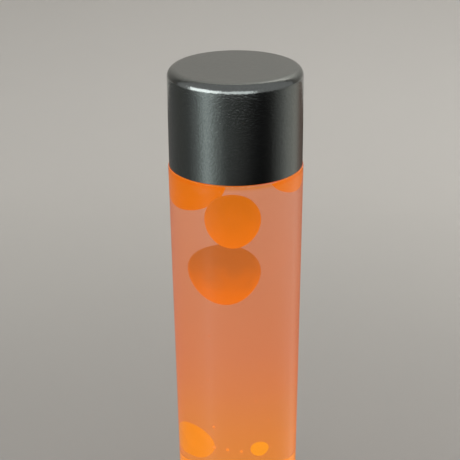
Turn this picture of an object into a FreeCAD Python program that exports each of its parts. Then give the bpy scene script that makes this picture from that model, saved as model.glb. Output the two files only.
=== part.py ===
import FreeCAD, Part
import math
import os
from types import SimpleNamespace
import Sketcher

# Liquid motion lamp: a metal base that holds a reflector bulb, a sealed glass bottle
# of tinted liquid and wax that stands in the base, and a metal cap over the bottle's neck.
# Millimetres, +Z up. The origin is the middle of the underside, and the cord entry faces +Y.

doc = FreeCAD.newDocument("MotionLamp")
sheet = doc.addObject("Spreadsheet::Sheet", "Sizes")

# Driving dimensions: name, value, what it is
driving_sizes = [
    ("housing_radius", "45", "outside of the cap and of the base"),
    ("cap_height", "67", "rim to top of the cap"),
    ("cap_wall", "1.2", "sheet of the cap"),
    ("cap_edge", "5", "outside rounding of the cap's top edge"),
    ("glass_proud", "0.6", "bottle beyond the cap, just below it"),
    ("glass_taper", "0.0115", "radius that the bottle loses per millimetre down"),
    ("glass_wall", "3", "wall of the bottle"),
    ("shown_glass", "250", "bottle height in view between base and cap"),
    ("land_round", "0.8", "rounding of the step that carries the cap"),
    ("skirt_height", "12", "straight collar of the bottle inside the cap"),
    ("shoulder_height", "31", "step to the top of the shoulder"),
    ("shoulder_round", "18", "outside rounding of the shoulder"),
    ("shoulder_rise", "2.5", "climb of the shoulder towards the neck"),
    ("neck_radius", "12.9", "outside of the neck"),
    ("neck_round", "7", "hollow between shoulder and neck"),
    ("neck_height", "56", "step to the lip of the neck"),
    ("bead_radius", "13.4", "lip that the crown grips"),
    ("bead_height", "5", "height of that lip"),
    ("bead_round", "0.9", "rounding of that lip"),
    ("bore_radius", "8.5", "inside of the neck"),
    ("bottle_depth", "14", "how deep the bottle stands in the base"),
    ("bottle_corner", "6", "outside rounding of the bottle's foot"),
    ("inner_corner", "4.5", "inside rounding of the bottle's foot"),
    ("step_blend", "12", "inside rounding where the bottle steps in for the cap"),
    ("step_below", "8", "start of that step-in below the land"),
    ("step_above", "3", "end of that step-in above the land"),
    ("punt_margin", "7.7", "flat foot of the bottle around the hollow"),
    ("punt_depth", "3", "hollow under the bottle, depth"),
    ("base_height", "112", "floor to the rim of the base"),
    ("base_wall", "1.2", "sheet of the base"),
    ("base_edge", "5", "outside rounding of the base's lower edge"),
    ("sheet_round", "0.4", "deburred edges of the sheet metal"),
    ("foot_show", "2", "foot ring below the base"),
    ("flange_reach", "12", "turned-in flange under the base, from the outside"),
    ("ring_wall", "1.2", "plate outside the foot ring's groove"),
    ("ring_width", "4.4", "foot ring"),
    ("ring_seat", "1.5", "depth of the foot ring's groove"),
    ("plate_thickness", "2.5", "bottom plate"),
    ("plate_rim", "4", "height of the bottom plate's stiffening rim"),
    ("rim_wall", "2", "wall of that rim"),
    ("vent_margin", "2", "plate between the vent slots and the foot ring's groove"),
    ("vent_length", "8", "vent slots"),
    ("vent_width", "2.2", "vent slots"),
    ("vent_count", "12", "vent slots"),
    ("screw_radius", "1.5", "shank of all screws"),
    ("screw_head", "2.7", "radius of the screw heads"),
    ("screw_head_height", "1.3", "screw heads"),
    ("plate_screw_count", "4", "plate screws"),
    ("bracket_screw_reach", "20.5", "bracket screws, distance from the middle"),
    ("bracket_length", "50", "bracket, foot to foot"),
    ("bracket_width", "12", "bracket"),
    ("bracket_sheet", "1", "bracket"),
    ("bracket_rise", "5", "top of the bracket above the plate"),
    ("bracket_span", "27", "flat top of the bracket"),
    ("bracket_slope", "2", "how far each leg leans out"),
    ("holder_radius", "13.5", "foot of the lampholder"),
    ("holder_skirt", "12", "grip of the lampholder"),
    ("holder_step", "14", "height of the lampholder's foot"),
    ("holder_height", "26.5", "lampholder"),
    ("holder_floor", "6", "floor of the lampholder"),
    ("holder_mouth", "4", "depth of the lampholder's wide mouth"),
    ("mouth_step", "2.4", "inner step of the lampholder, with the threaded shell's sheet"),
    ("holder_web", "1.2", "floor of the lampholder above its screw holes"),
    ("holder_screw_gap", "0.8", "end of those screws to the end of their holes"),
    ("holder_screw_reach", "7.5", "lampholder screws, distance from the middle"),
    ("flute_count", "12", "grip flutes of the lampholder"),
    ("flute_radius", "1.1", "grip flutes"),
    ("thread_radius", "7.2", "inside of the threaded shell"),
    ("thread_sheet", "0.5", "sheet of the threaded shell"),
    ("thread_length", "14", "threaded shell"),
    ("contact_rise", "1.3", "top of the centre contact above the holder's floor"),
    ("contact_sheet", "0.4", "strip of the centre contact"),
    ("contact_length", "9", "strip of the centre contact"),
    ("contact_width", "4", "strip of the centre contact"),
    ("bulb_length", "66", "bulb, contact to face"),
    ("bulb_radius", "19.5", "bulb at its widest"),
    ("bulb_face", "20.2", "radius of the bulb's rounded face"),
    ("bulb_glass", "0.9", "wall of the bulb"),
    ("bulb_cap_radius", "6.9", "screw cap of the bulb"),
    ("bulb_cap_height", "19", "contact to the end of the screw cap"),
    ("bulb_cap_sheet", "0.35", "sheet of the screw cap"),
    ("bulb_cap_foot", "3.4", "contact to the foot of the screw cap"),
    ("tip_radius", "2.3", "solder spot at the bulb's tip"),
    ("tip_height", "1.2", "solder spot at the bulb's tip"),
    ("insulator_radius", "3", "black glass at the solder spot"),
    ("insulator_gap", "0.15", "black glass to the screw cap"),
    ("insulator_flare", "3.2", "contact to the black glass's widest part"),
    ("insulator_top", "5", "contact to the top of the black glass"),
    ("bulb_neck", "8.4", "bulb just above its cap"),
    ("bulb_flare", "45", "height where the bulb is at its widest"),
    ("bulb_swell", "32", "curve of the bulb's side"),
    ("stem_height", "33", "contact to the top of the bulb's stem"),
    ("stem_foot", "6", "contact to the foot of the bulb's glass"),
    ("stem_radius", "2", "stem that carries the filament"),
    ("filament_wire", "0.35", "radius of the filament's wire"),
    ("ledge_web", "8", "ledge between its opening and the pads"),
    ("slot_margin", "0.7", "ledge left at both ends of its slots"),
    ("slot_width", "3.2", "air slots in the ledge"),
    ("slot_turn", "20", "first air slot, in degrees from the right"),
    ("ledge_sheet", "1.2", "bottle ledge"),
    ("ledge_skirt", "8", "turned-down edge of the bottle ledge"),
    ("ledge_slots", "9", "air slots in the bottle ledge"),
    ("pad_thickness", "2", "silicone under the bottle"),
    ("pad_seat", "2.7", "flat part of the silicone pads"),
    ("pad_height", "9.5", "silicone pads up the bottle's side"),
    ("pad_angle", "52", "length of each silicone pad in degrees"),
    ("pad_count", "3", "silicone pads"),
    ("gland_height", "21", "cord entry above the floor"),
    ("gland_bore", "3.2", "bore of the cord entry"),
    ("gland_radius", "4.9", "threaded barrel of the cord entry"),
    ("gland_flange", "7", "flange of the cord entry"),
    ("gland_flats", "10.4", "six-sided neck that keeps the cord entry from turning"),
    ("gland_lip", "1.2", "flange of the cord entry beyond the wall"),
    ("gland_length", "10", "cord entry"),
    ("nut_size", "15", "nut of the cord entry, across flats"),
    ("nut_thickness", "3", "nut of the cord entry"),
    ("block_width", "19", "terminal block"),
    ("block_depth", "13", "terminal block"),
    ("block_height", "11", "terminal block"),
    ("block_margin", "1.6", "terminal block to the bottom plate's rim"),
    ("terminal_pitch", "9.5", "between the two terminals"),
    ("terminal_height", "6", "wire entries above the plate"),
    ("wire_radius", "1", "insulated leads"),
    ("wire_entry", "4", "how deep a lead goes in"),
    ("wire_bow", "18.6", "how far each lead passes from the middle"),
    ("entry_reach", "4.2", "lead entries of the lampholder, from the middle"),
    ("entry_height", "3.4", "lead entries above the lampholder's foot"),
    ("loop_reach", "24", "how far behind the holder the leads turn"),
    ("loop_room", "9", "length and width of that turn"),
    ("lead_straight", "3.5", "straight start of each lead at the terminal block"),
    ("lead_ease", "3", "how far each lead swings out on its way past the holder"),
    ("liner_height", "8", "soft ring in the cap"),
    ("liner_thickness", "1", "soft ring in the cap"),
    ("liner_rise", "1.5", "soft ring above the cap's rim"),
    ("crown_sheet", "0.4", "crown closure"),
    ("crown_radius", "15.6", "rim of the crown closure"),
    ("crown_wave", "0.45", "height of the crown's flutes"),
    ("crown_flutes", "21", "crown closure"),
    ("crown_height", "6", "crown closure"),
    ("seal_thickness", "0.8", "seal under the crown"),
    ("coil_inset", "10.7", "middle of the wire coil to the glass"),
    ("coil_wire", "0.75", "radius of the coil's wire"),
    ("coil_pitch", "3.2", "coil, turn to turn"),
    ("coil_turns", "2.5", "coil"),
    ("liquid_level", "301", "liquid above the bottle's foot"),
    ("pool_middle", "20", "top of the wax pool above the bottle's foot"),
    ("pool_side", "15", "the same at the glass"),
    ("round_width", "16.2", "round blob, half its width"),
    ("round_height", "18.9", "round blob, half its height"),
    ("round_blunt", "0.9", "round blob, how round its ends are"),
    ("round_room", "2.9", "round blob to the glass"),
    ("round_turn", "264.6", "round blob, in degrees from the right"),
    ("round_z", "233.3", "round blob above the bottle's foot"),
    ("ovoid_width", "15.8", "ovoid blob, half its width"),
    ("ovoid_height", "23", "ovoid blob, half its height"),
    ("ovoid_blunt", "0.78", "ovoid blob, how round its ends are"),
    ("ovoid_x", "-5.1", "ovoid blob"),
    ("ovoid_y", "11", "ovoid blob"),
    ("ovoid_z", "183.5", "ovoid blob above the bottle's foot"),
    ("small_width", "4.8", "small blob, half its width"),
    ("small_height", "5.6", "small blob, half its height"),
    ("small_x", "11.4", "small blob"),
    ("small_y", "-5", "small blob"),
    ("small_z", "49.3", "small blob above the bottle's foot"),
    ("left_mass_radius", "20.5", "wax under the shoulder, left"),
    ("left_mass_inset", "17", "its middle to the glass"),
    ("left_mass_turn", "185.6", "its place, in degrees from the right"),
    ("left_mass_drop", "8.5", "its middle below the bottle's land"),
    ("right_mass_radius", "15", "wax under the shoulder, right"),
    ("right_mass_inset", "7.5", "its middle to the glass"),
    ("right_mass_turn", "-21.2", "its place, in degrees from the right"),
    ("right_mass_drop", "0", "its middle below the bottle's land"),
    ("wall_lobe_radius", "13", "wax against the left wall"),
    ("wall_lobe_inset", "10.6", "its middle to the glass"),
    ("wall_lobe_turn", "201.8", "its place, in degrees from the right"),
    ("wall_lobe_z", "57", "its middle above the bottle's foot"),
    ("droplet_radius", "0.9", "largest droplet"),
    ("droplet_x", "-15", "first droplet of the row"),
    ("droplet_y", "-27.5", "row of droplets"),
    ("droplet_z", "60", "first droplet above the bottle's foot"),
    ("droplet_step", "8.6", "droplet to droplet"),
    ("droplet_fall", "1.4", "each droplet below the last"),
    ("droplet_stray", "17", "stray droplet above the row"),
    ("fixed_gap", "0.1", "between pieces fixed in each other"),
    ("loose_gap", "0.3", "between pieces that come apart"),
    ("film_gap", "0.12", "between glass, liquid and wax"),
]


class Size:
    """A length that knows its spreadsheet expression and its present value."""

    def __init__(self, text, value):
        self.text = text
        self.value = value

    def __add__(self, other):
        return combined(self, "+", other)

    def __radd__(self, other):
        return combined(other, "+", self)

    def __sub__(self, other):
        return combined(self, "-", other)

    def __rsub__(self, other):
        return combined(other, "-", self)

    def __mul__(self, other):
        return combined(self, "*", other)

    def __rmul__(self, other):
        return combined(other, "*", self)

    def __truediv__(self, other):
        return combined(self, "/", other)

    def __rtruediv__(self, other):
        return combined(other, "/", self)

    def __neg__(self):
        return combined(0, "-", self)


def as_size(number):
    return number if isinstance(number, Size) else Size(f"({number})", float(number))


def combined(left, sign, right):
    """Both sizes joined by a sign, as an expression and as a value."""
    left = as_size(left)
    right = as_size(right)
    if sign == "+":
        value = left.value + right.value
    elif sign == "-":
        value = left.value - right.value
    elif sign == "*":
        value = left.value * right.value
    else:
        value = left.value / right.value
    return Size(f"({left.text} {sign} {right.text})", value)


def sine(degrees):
    return Size(f"sin({degrees.text} * 1 deg)", math.sin(math.radians(degrees.value)))


def cosine(degrees):
    return Size(f"cos({degrees.text} * 1 deg)", math.cos(math.radians(degrees.value)))


def root(size):
    return Size(f"sqrt({size.text})", math.sqrt(size.value))


def fill_sheet():
    """Write the driving dimensions to the sheet and return them by name."""
    named = {}
    for row, (name, value, note) in enumerate(driving_sizes, start=1):
        sheet.set(f"A{row}", name)
        sheet.set(f"B{row}", value)
        sheet.setAlias(f"B{row}", name)
        sheet.set(f"C{row}", note)
        named[name] = Size(f"Sizes.{name}", float(value))
    doc.recompute()
    return SimpleNamespace(**named)


mm = fill_sheet()

# Heights that several pieces share, from the floor
rim_height = mm.base_height + mm.shown_glass
bottle_foot = mm.base_height - mm.bottle_depth
plate_foot = mm.foot_show + mm.base_wall
plate_top = plate_foot + mm.plate_thickness
holder_foot = plate_top + mm.bracket_rise
bulb_foot = holder_foot + mm.holder_floor + mm.contact_rise
ledge_top = bottle_foot - mm.pad_thickness

# Heights on the bottle, from its own foot
land_height = mm.bottle_depth + mm.shown_glass
lip_height = land_height + mm.neck_height
glass_radius = mm.housing_radius + mm.glass_proud
liner_outer = mm.housing_radius - mm.cap_wall - mm.fixed_gap
skirt_radius = liner_outer - mm.liner_thickness - mm.loose_gap

# Radii in the base, from the outside in
base_inside = mm.housing_radius - mm.base_wall
plate_radius = mm.housing_radius - mm.base_edge - mm.loose_gap
flange_radius = mm.housing_radius - mm.flange_reach
plate_screw_circle = (plate_radius + flange_radius) / 2
spigot_radius = flange_radius - mm.loose_gap
ring_outer = spigot_radius - mm.ring_wall - mm.fixed_gap
ring_inner = ring_outer - mm.ring_width
vent_outer = ring_inner - mm.vent_margin
vent_inner = vent_outer - mm.vent_length


def vector(x, y, z=0.0):
    return FreeCAD.Vector(x, y, z)


def corner(x, y, rounding=None, bend=None):
    """A corner of an outline. Rounding gives it a tangent arc of that radius.

    Bend makes the edge that arrives here an arc, which turns left if the radius is positive.
    """
    return SimpleNamespace(x=as_size(x), y=as_size(y), rounding=rounding, bend=bend)


def bent_edge(start, end, radius):
    """The arc from start to end that turns left, or right where the radius is negative."""
    middle = (start + end) * 0.5
    chord = end - start
    left = vector(-chord.y, chord.x).normalize()
    drop = math.sqrt(max(radius * radius - chord.Length * chord.Length / 4, 0.0))
    centre = middle + left * math.copysign(drop, radius)
    return arc_about(centre, start, end, radius > 0)


def arc_about(centre, start, end, left):
    """Arc about a centre, with the ends' numbers in walking order."""
    first, last = (start, end) if left else (end, start)
    angles = [math.atan2(p.y - centre.y, p.x - centre.x) for p in (first, last)]
    circle = Part.Circle(centre, vector(0, 0, 1), (start - centre).Length)
    if angles[1] < angles[0]:
        angles[1] += 2 * math.pi
    arc = Part.ArcOfCircle(circle, angles[0], angles[1])
    return arc, (1, 2) if left else (2, 1)


def traced(corners):
    """The outline's edges in walking order: geometry, end numbers, kind and corner."""
    points = [vector(c.x.value, c.y.value) for c in corners]
    count = len(corners)
    arrive = list(points)
    leave = list(points)
    centres = {}
    for i, c in enumerate(corners):
        if c.rounding is None:
            continue
        back = (points[i - 1] - points[i]).normalize()
        ahead = (points[(i + 1) % count] - points[i]).normalize()
        half = back.getAngle(ahead) / 2
        reach = as_size(c.rounding).value / math.tan(half)
        arrive[i] = points[i] + back * reach
        leave[i] = points[i] + ahead * reach
        along = (back + ahead).normalize()
        centres[i] = points[i] + along * (as_size(c.rounding).value / math.sin(half))
    edges = []
    for i, c in enumerate(corners):
        if i in centres:
            side = (leave[i] - arrive[i]).cross(centres[i] - arrive[i]).z > 0
            arc, ends = arc_about(centres[i], arrive[i], leave[i], side)
            edges.append((arc, ends, "rounding", i))
        following = corners[(i + 1) % count]
        start = leave[i]
        end = arrive[(i + 1) % count]
        if following.bend is not None:
            arc, ends = bent_edge(start, end, as_size(following.bend).value)
            edges.append((arc, ends, "bend", (i + 1) % count))
        else:
            edges.append((Part.LineSegment(start, end), (1, 2), "line", i))
    return edges


def plane_of(body, role):
    return [f for f in body.Origin.OriginFeatures if f.Role == role][0]


def new_sketch(body, name, role, height=None):
    sketch = body.newObject("Sketcher::SketchObject", name)
    sketch.AttachmentSupport = [(plane_of(body, role), "")]
    sketch.MapMode = "FlatFace"
    if height is not None:
        sketch.setExpression("AttachmentOffset.Base.z", as_size(height).text)
    return sketch


def bind(sketch, kind, references, size):
    """Add a dimension to the sketch and tie it to the sheet."""
    size = as_size(size)
    number = sketch.addConstraint(Sketcher.Constraint(kind, *references, size.value))
    sketch.setExpression(f"Constraints[{number}]", size.text)


def pin_point(sketch, geometry, end, x, y):
    """Place a point of the sketch by its two distances from the origin."""
    for kind, axis, size in (("DistanceX", -2, x), ("DistanceY", -1, y)):
        if size.text == "(0)":
            sketch.addConstraint(Sketcher.Constraint("PointOnObject", geometry, end, axis))
        else:
            bind(sketch, kind, (-1, 1, geometry, end), size)


def draw(sketch, corners):
    """Draw a closed outline in the sketch, with every corner tied to the sheet."""
    edges = traced(corners)
    placed = [(sketch.addGeometry(e[0], False), *e[1:]) for e in edges]
    for this, following in zip(placed, placed[1:] + placed[:1]):
        smooth = "rounding" in (this[2], following[2])
        kind = "Tangent" if smooth else "Coincident"
        ends = (this[0], this[1][1], following[0], following[1][0])
        sketch.addConstraint(Sketcher.Constraint(kind, *ends))
    for number, (geometry, ends, kind, at) in enumerate(placed):
        c = corners[at]
        if kind == "bend":
            bind(sketch, "Radius", (geometry,), positive(c.bend))
        if kind == "rounding":
            bind(sketch, "Radius", (geometry,), c.rounding)
            sharp = sketch.addGeometry(Part.Point(vector(c.x.value, c.y.value)), True)
            before = placed[number - 1][0]
            after = placed[(number + 1) % len(placed)][0]
            sketch.addConstraint(Sketcher.Constraint("PointOnObject", sharp, 1, before))
            sketch.addConstraint(Sketcher.Constraint("PointOnObject", sharp, 1, after))
            pin_point(sketch, sharp, 1, c.x, c.y)
    for geometry, ends, kind, at in placed:
        start = (at - 1) % len(corners) if kind == "bend" else at
        if kind != "rounding" and corners[start].rounding is None:
            pin_point(sketch, geometry, ends[0], corners[start].x, corners[start].y)
    if sketch.solve() != 0:
        raise RuntimeError(f"{sketch.Name} can't be solved")


def positive(bend):
    """A bend's radius without the sign that gives its side."""
    bend = as_size(bend)
    return bend if bend.value > 0 else -bend


def new_body(name, x=0, y=0, z=0):
    body = doc.addObject("PartDesign::Body", name)
    body.Label = name
    body.AllowCompound = True
    place(body, x, y, z)
    return body


def place(piece, x=0, y=0, z=0):
    for axis, size in (("x", x), ("y", y), ("z", z)):
        if as_size(size).text != "(0)":
            piece.setExpression(f"Placement.Base.{axis}", as_size(size).text)


def turned(name, corners, z=0, x=0, y=0):
    """A body turned about its own Z axis from an outline of radius and height."""
    body = new_body(name, x, y, z)
    sketch = new_sketch(body, f"{name}_outline", "XZ_Plane")
    draw(sketch, corners)
    turn = body.newObject("PartDesign::Revolution", f"{name}_turn")
    turn.Profile = sketch
    turn.ReferenceAxis = (sketch, ["V_Axis"])
    turn.Angle = 360
    body.Tip = turn
    doc.recompute()
    return body


def repeated(body, feature, count, angle=360):
    """Repeat a feature about the body's Z axis."""
    pattern = body.newObject("PartDesign::PolarPattern", f"{feature.Name}_round")
    pattern.Originals = [feature]
    pattern.Axis = (plane_of(body, "Z_Axis"), [""])
    pattern.Angle = angle
    pattern.setExpression("Occurrences", as_size(count).text)
    body.Tip = pattern
    doc.recompute()
    return pattern


def cut_through(body, sketch, length=None, reverse=False):
    """Pocket a sketch through the body, and make sure that it takes something away."""
    before = body.Shape.Volume
    pocket = body.newObject("PartDesign::Pocket", f"{sketch.Name}_cut")
    pocket.Profile = sketch
    if length is None:
        pocket.Type = "ThroughAll"
        pocket.Midplane = True
    else:
        pocket.Type = "Length"
        pocket.setExpression("Length", as_size(length).text)
        pocket.Reversed = reverse
    body.Tip = pocket
    doc.recompute()
    if body.Shape.Volume >= before:
        raise RuntimeError(f"{pocket.Name} cuts nothing")
    return pocket


def draw_circle(sketch, x, y, radius):
    x, y, radius = as_size(x), as_size(y), as_size(radius)
    circle = Part.Circle(vector(x.value, y.value), vector(0, 0, 1), radius.value)
    geometry = sketch.addGeometry(circle, False)
    bind(sketch, "Radius", (geometry,), radius)
    pin_point(sketch, geometry, 3, x, y)


def turned_solid(corners):
    """The same turned form as a plain shape, for the pieces that are cut from each other."""
    edges = [e[0].toShape() for e in traced(corners)]
    flat = Part.Face(Part.Wire(Part.__sortEdges__(edges)))
    flat.rotate(vector(0, 0, 0), vector(1, 0, 0), 90)
    return flat.revolve(vector(0, 0, 0), vector(0, 0, 1), 360)


def shaped(name, shape, x=0, y=0, z=0):
    """A sub-part whose form is worked out in this script from the sheet's values."""
    piece = doc.addObject("Part::Feature", name)
    piece.Label = name
    piece.Shape = shape
    place(piece, x, y, z)
    return piece


# Base


def base_shell():
    """Drawn metal sleeve with a turned-in flange below and a hole for the cord entry."""
    height = mm.base_height - mm.foot_show
    inner = base_inside
    body = turned("base_shell", [
        corner(flange_radius, 0),
        corner(mm.housing_radius, 0, rounding=mm.base_edge),
        corner(mm.housing_radius, height, rounding=mm.sheet_round),
        corner(inner, height),
        corner(inner, mm.base_wall, rounding=mm.base_edge - mm.base_wall),
        corner(flange_radius, mm.base_wall),
    ], z=mm.foot_show)
    hole = new_sketch(body, "base_cord_hole", "XZ_Plane")
    draw(hole, six_sides(mm.gland_flats + 2 * mm.fixed_gap, mm.gland_height - mm.foot_show))
    cut_through(body, hole, length=mm.housing_radius + mm.base_wall)
    screw = new_sketch(body, "base_screw_hole", "XY_Plane")
    reach = plate_screw_circle * math.sqrt(0.5)
    draw_circle(screw, reach, reach, mm.screw_radius + mm.fixed_gap)
    repeated(body, cut_through(body, screw), mm.plate_screw_count)
    return body


def six_sides(flats, z=0):
    """Corners of a hexagon with two flats level, from its size across flats."""
    half = flats / 2
    reach = flats / math.sqrt(3)
    return [
        corner(reach, z),
        corner(reach / 2, z + half),
        corner(-reach / 2, z + half),
        corner(-reach, z),
        corner(-reach / 2, z - half),
        corner(reach / 2, z - half),
    ]


def base_plate():
    """Moulded bottom plate with a spigot, a groove for the foot ring, a rim and vent slots."""
    low = -mm.base_wall
    groove = mm.ring_seat - mm.base_wall
    rim = plate_radius - mm.rim_wall
    top = mm.plate_thickness
    body = turned("base_plate", [
        corner(0, low),
        corner(ring_inner - mm.fixed_gap, low),
        corner(ring_inner - mm.fixed_gap, groove),
        corner(ring_outer + mm.fixed_gap, groove),
        corner(ring_outer + mm.fixed_gap, low),
        corner(spigot_radius, low),
        corner(spigot_radius, 0),
        corner(plate_radius, 0),
        corner(plate_radius, top + mm.plate_rim, rounding=0.6),
        corner(rim, top + mm.plate_rim),
        corner(rim, top),
        corner(0, top),
    ], z=plate_foot)
    vent = new_sketch(body, "vent_slot", "XY_Plane")
    draw_slot(vent, vent_inner, vent_outer, mm.vent_width / 2, 180 / mm.vent_count)
    repeated(body, cut_through(body, vent), mm.vent_count)
    outer = new_sketch(body, "plate_screw_hole", "XY_Plane")
    reach = plate_screw_circle * math.sqrt(0.5)
    draw_circle(outer, reach, reach, mm.screw_radius + mm.fixed_gap)
    repeated(body, cut_through(body, outer), mm.plate_screw_count)
    inner = new_sketch(body, "bracket_screw_hole", "XY_Plane")
    draw_circle(inner, mm.bracket_screw_reach, 0, mm.screw_radius + mm.fixed_gap)
    draw_circle(inner, -mm.bracket_screw_reach, 0, mm.screw_radius + mm.fixed_gap)
    cut_through(body, inner)
    return body


def draw_slot(sketch, inner, outer, half, angle):
    """A round-ended slot along a ray from the middle, at an angle in degrees."""
    angle = as_size(angle)
    turn = math.radians(angle.value)
    along = vector(math.cos(turn), math.sin(turn))
    side = vector(-along.y, along.x) * half.value
    ends = [along * (inner.value + half.value), along * (outer.value - half.value)]
    lines = [
        sketch.addGeometry(Part.LineSegment(ends[0] - side, ends[1] - side), False),
        sketch.addGeometry(Part.LineSegment(ends[1] + side, ends[0] + side), False),
    ]
    caps = []
    for centre, start in ((ends[1], turn - math.pi / 2), (ends[0], turn + math.pi / 2)):
        circle = Part.Circle(centre, vector(0, 0, 1), half.value)
        arc = Part.ArcOfCircle(circle, start, start + math.pi)
        caps.append(sketch.addGeometry(arc, False))
    walk = (lines[0], caps[0], lines[1], caps[1])
    for this, following in zip(walk, walk[1:] + walk[:1]):
        sketch.addConstraint(Sketcher.Constraint("Tangent", this, 2, following, 1))
    bind(sketch, "Radius", (caps[0],), half)
    for cap, reach in ((caps[0], outer - half), (caps[1], inner + half)):
        pin_point(sketch, cap, 3, reach * cosine(angle), reach * sine(angle))


def screw(name, count, circle, z, length, turn=0, down=False):
    """Pan-head screws on a circle, with their heads at the bottom, or on top if down."""
    way = -1 if down else 1
    body = new_body(name, z=z)
    if turn:
        body.Placement = FreeCAD.Placement(vector(0, 0, 0), FreeCAD.Rotation(vector(0, 0, 1), turn))
        place(body, z=z)
    sketch = new_sketch(body, f"{name}_outline", "XZ_Plane")
    slope = mm.screw_head_height / 2
    draw(sketch, [
        corner(circle, -way * mm.screw_head_height),
        corner(circle + mm.screw_head - slope, -way * mm.screw_head_height),
        corner(circle + mm.screw_head, -way * slope),
        corner(circle + mm.screw_head, 0),
        corner(circle + mm.screw_radius, 0),
        corner(circle + mm.screw_radius, way * length),
        corner(circle, way * length),
    ])
    axis = sketch.addGeometry(Part.LineSegment(vector(circle.value, -1), vector(circle.value, 1)), True)
    sketch.addConstraint(Sketcher.Constraint("Vertical", axis))
    pin_point(sketch, axis, 1, circle, as_size(-1))
    bind(sketch, "DistanceY", (-1, 1, axis, 2), 1)
    turn_feature = body.newObject("PartDesign::Revolution", f"{name}_turn")
    turn_feature.Profile = sketch
    turn_feature.ReferenceAxis = (sketch, ["Axis0"])
    turn_feature.Angle = 360
    body.Tip = turn_feature
    doc.recompute()
    repeated(body, turn_feature, count)
    return body


def foot_ring():
    """Rubber ring pressed into the bottom plate, which the lamp stands on."""
    top = plate_foot - mm.base_wall + mm.ring_seat - mm.fixed_gap
    return turned("foot_ring", [
        corner(ring_inner, 0),
        corner(ring_outer, 0, rounding=0.7),
        corner(ring_outer, top),
        corner(ring_inner, top),
    ])


def bottle_radius_at(height):
    """Outside radius of the glass at a height above the bottle's foot."""
    return glass_radius - mm.glass_taper * (land_height - height)


# The bottle's flat foot, and the ring that carries it
foot_flat = bottle_radius_at(mm.bottle_corner) - mm.bottle_corner
pad_inner = foot_flat - mm.pad_seat
ledge_radius = pad_inner - mm.ledge_web


def bottle_ledge():
    """Pressed ring that carries the bottle, with a turned-down edge and air slots."""
    outer = base_inside - mm.fixed_gap
    inner = outer - mm.ledge_sheet
    body = turned("bottle_ledge", [
        corner(ledge_radius, -mm.ledge_sheet),
        corner(inner, -mm.ledge_sheet),
        corner(inner, -mm.ledge_skirt),
        corner(outer, -mm.ledge_skirt),
        corner(outer, 0, rounding=mm.ledge_sheet),
        corner(ledge_radius, 0),
    ], z=ledge_top)
    slot = new_sketch(body, "air_slot", "XY_Plane")
    inner_end = ledge_radius + mm.slot_margin
    draw_slot(slot, inner_end, pad_inner - mm.slot_margin, mm.slot_width / 2, mm.slot_turn)
    repeated(body, cut_through(body, slot), mm.ledge_slots)
    return body


def seat_pads():
    """Three silicone pads that carry the bottle's foot and keep it in the middle."""
    outer = base_inside - mm.fixed_gap
    top = mm.pad_thickness
    flat = foot_flat
    bowl = mm.bottle_corner + mm.loose_gap
    body = new_body("seat_pads", z=ledge_top)
    sketch = new_sketch(body, "seat_pad_outline", "XZ_Plane")
    draw(sketch, [
        corner(pad_inner, 0),
        corner(outer, 0, rounding=mm.pad_thickness),
        corner(outer, mm.pad_height),
        corner(flat + bowl, mm.pad_height),
        corner(flat + bowl, top + mm.bottle_corner),
        corner(flat, top - mm.loose_gap, bend=-bowl),
        corner(flat - 0.5, top),
        corner(pad_inner, top),
    ])
    pad = body.newObject("PartDesign::Revolution", "seat_pad")
    pad.Profile = sketch
    pad.ReferenceAxis = (sketch, ["V_Axis"])
    pad.setExpression("Angle", mm.pad_angle.text)
    pad.Midplane = True
    body.Tip = pad
    doc.recompute()
    repeated(body, pad, mm.pad_count)
    return body


# Where the nut's corners meet the round wall inside the base
nut_face = root(base_inside * base_inside - mm.nut_size * mm.nut_size / 3) - mm.fixed_gap


def cord_gland():
    """Bush through the back of the base: a flange, a six-sided neck and a round barrel."""
    outer = mm.housing_radius + mm.gland_lip
    steps = [
        ("gland_barrel", mm.gland_length, None),
        ("gland_neck", outer - nut_face - mm.fixed_gap, six_sides(mm.gland_flats)),
        ("gland_rim", mm.gland_lip, None),
    ]
    body = new_body("cord_gland", z=mm.gland_height)
    for name, length, outline in steps:
        sketch = new_sketch(body, f"{name}_outline", "XZ_Plane", height=-outer)
        if outline:
            draw(sketch, outline)
        else:
            draw_circle(sketch, 0, 0, mm.gland_flange if name == "gland_rim" else mm.gland_radius)
        draw_circle(sketch, 0, 0, mm.gland_bore)
        pad = body.newObject("PartDesign::Pad", name)
        pad.Profile = sketch
        pad.setExpression("Length", length.text)
        body.Tip = pad
    doc.recompute()
    return body


def gland_nut():
    """Hexagon nut that clamps the bush from inside the base."""
    body = new_body("gland_nut", z=mm.gland_height)
    sketch = new_sketch(body, "nut_outline", "XZ_Plane", height=-nut_face)
    draw(sketch, six_sides(mm.nut_size))
    draw_circle(sketch, 0, 0, mm.gland_radius + mm.fixed_gap)
    pad = body.newObject("PartDesign::Pad", "nut_body")
    pad.Profile = sketch
    pad.setExpression("Length", mm.nut_thickness.text)
    body.Tip = pad
    doc.recompute()
    return body


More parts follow.
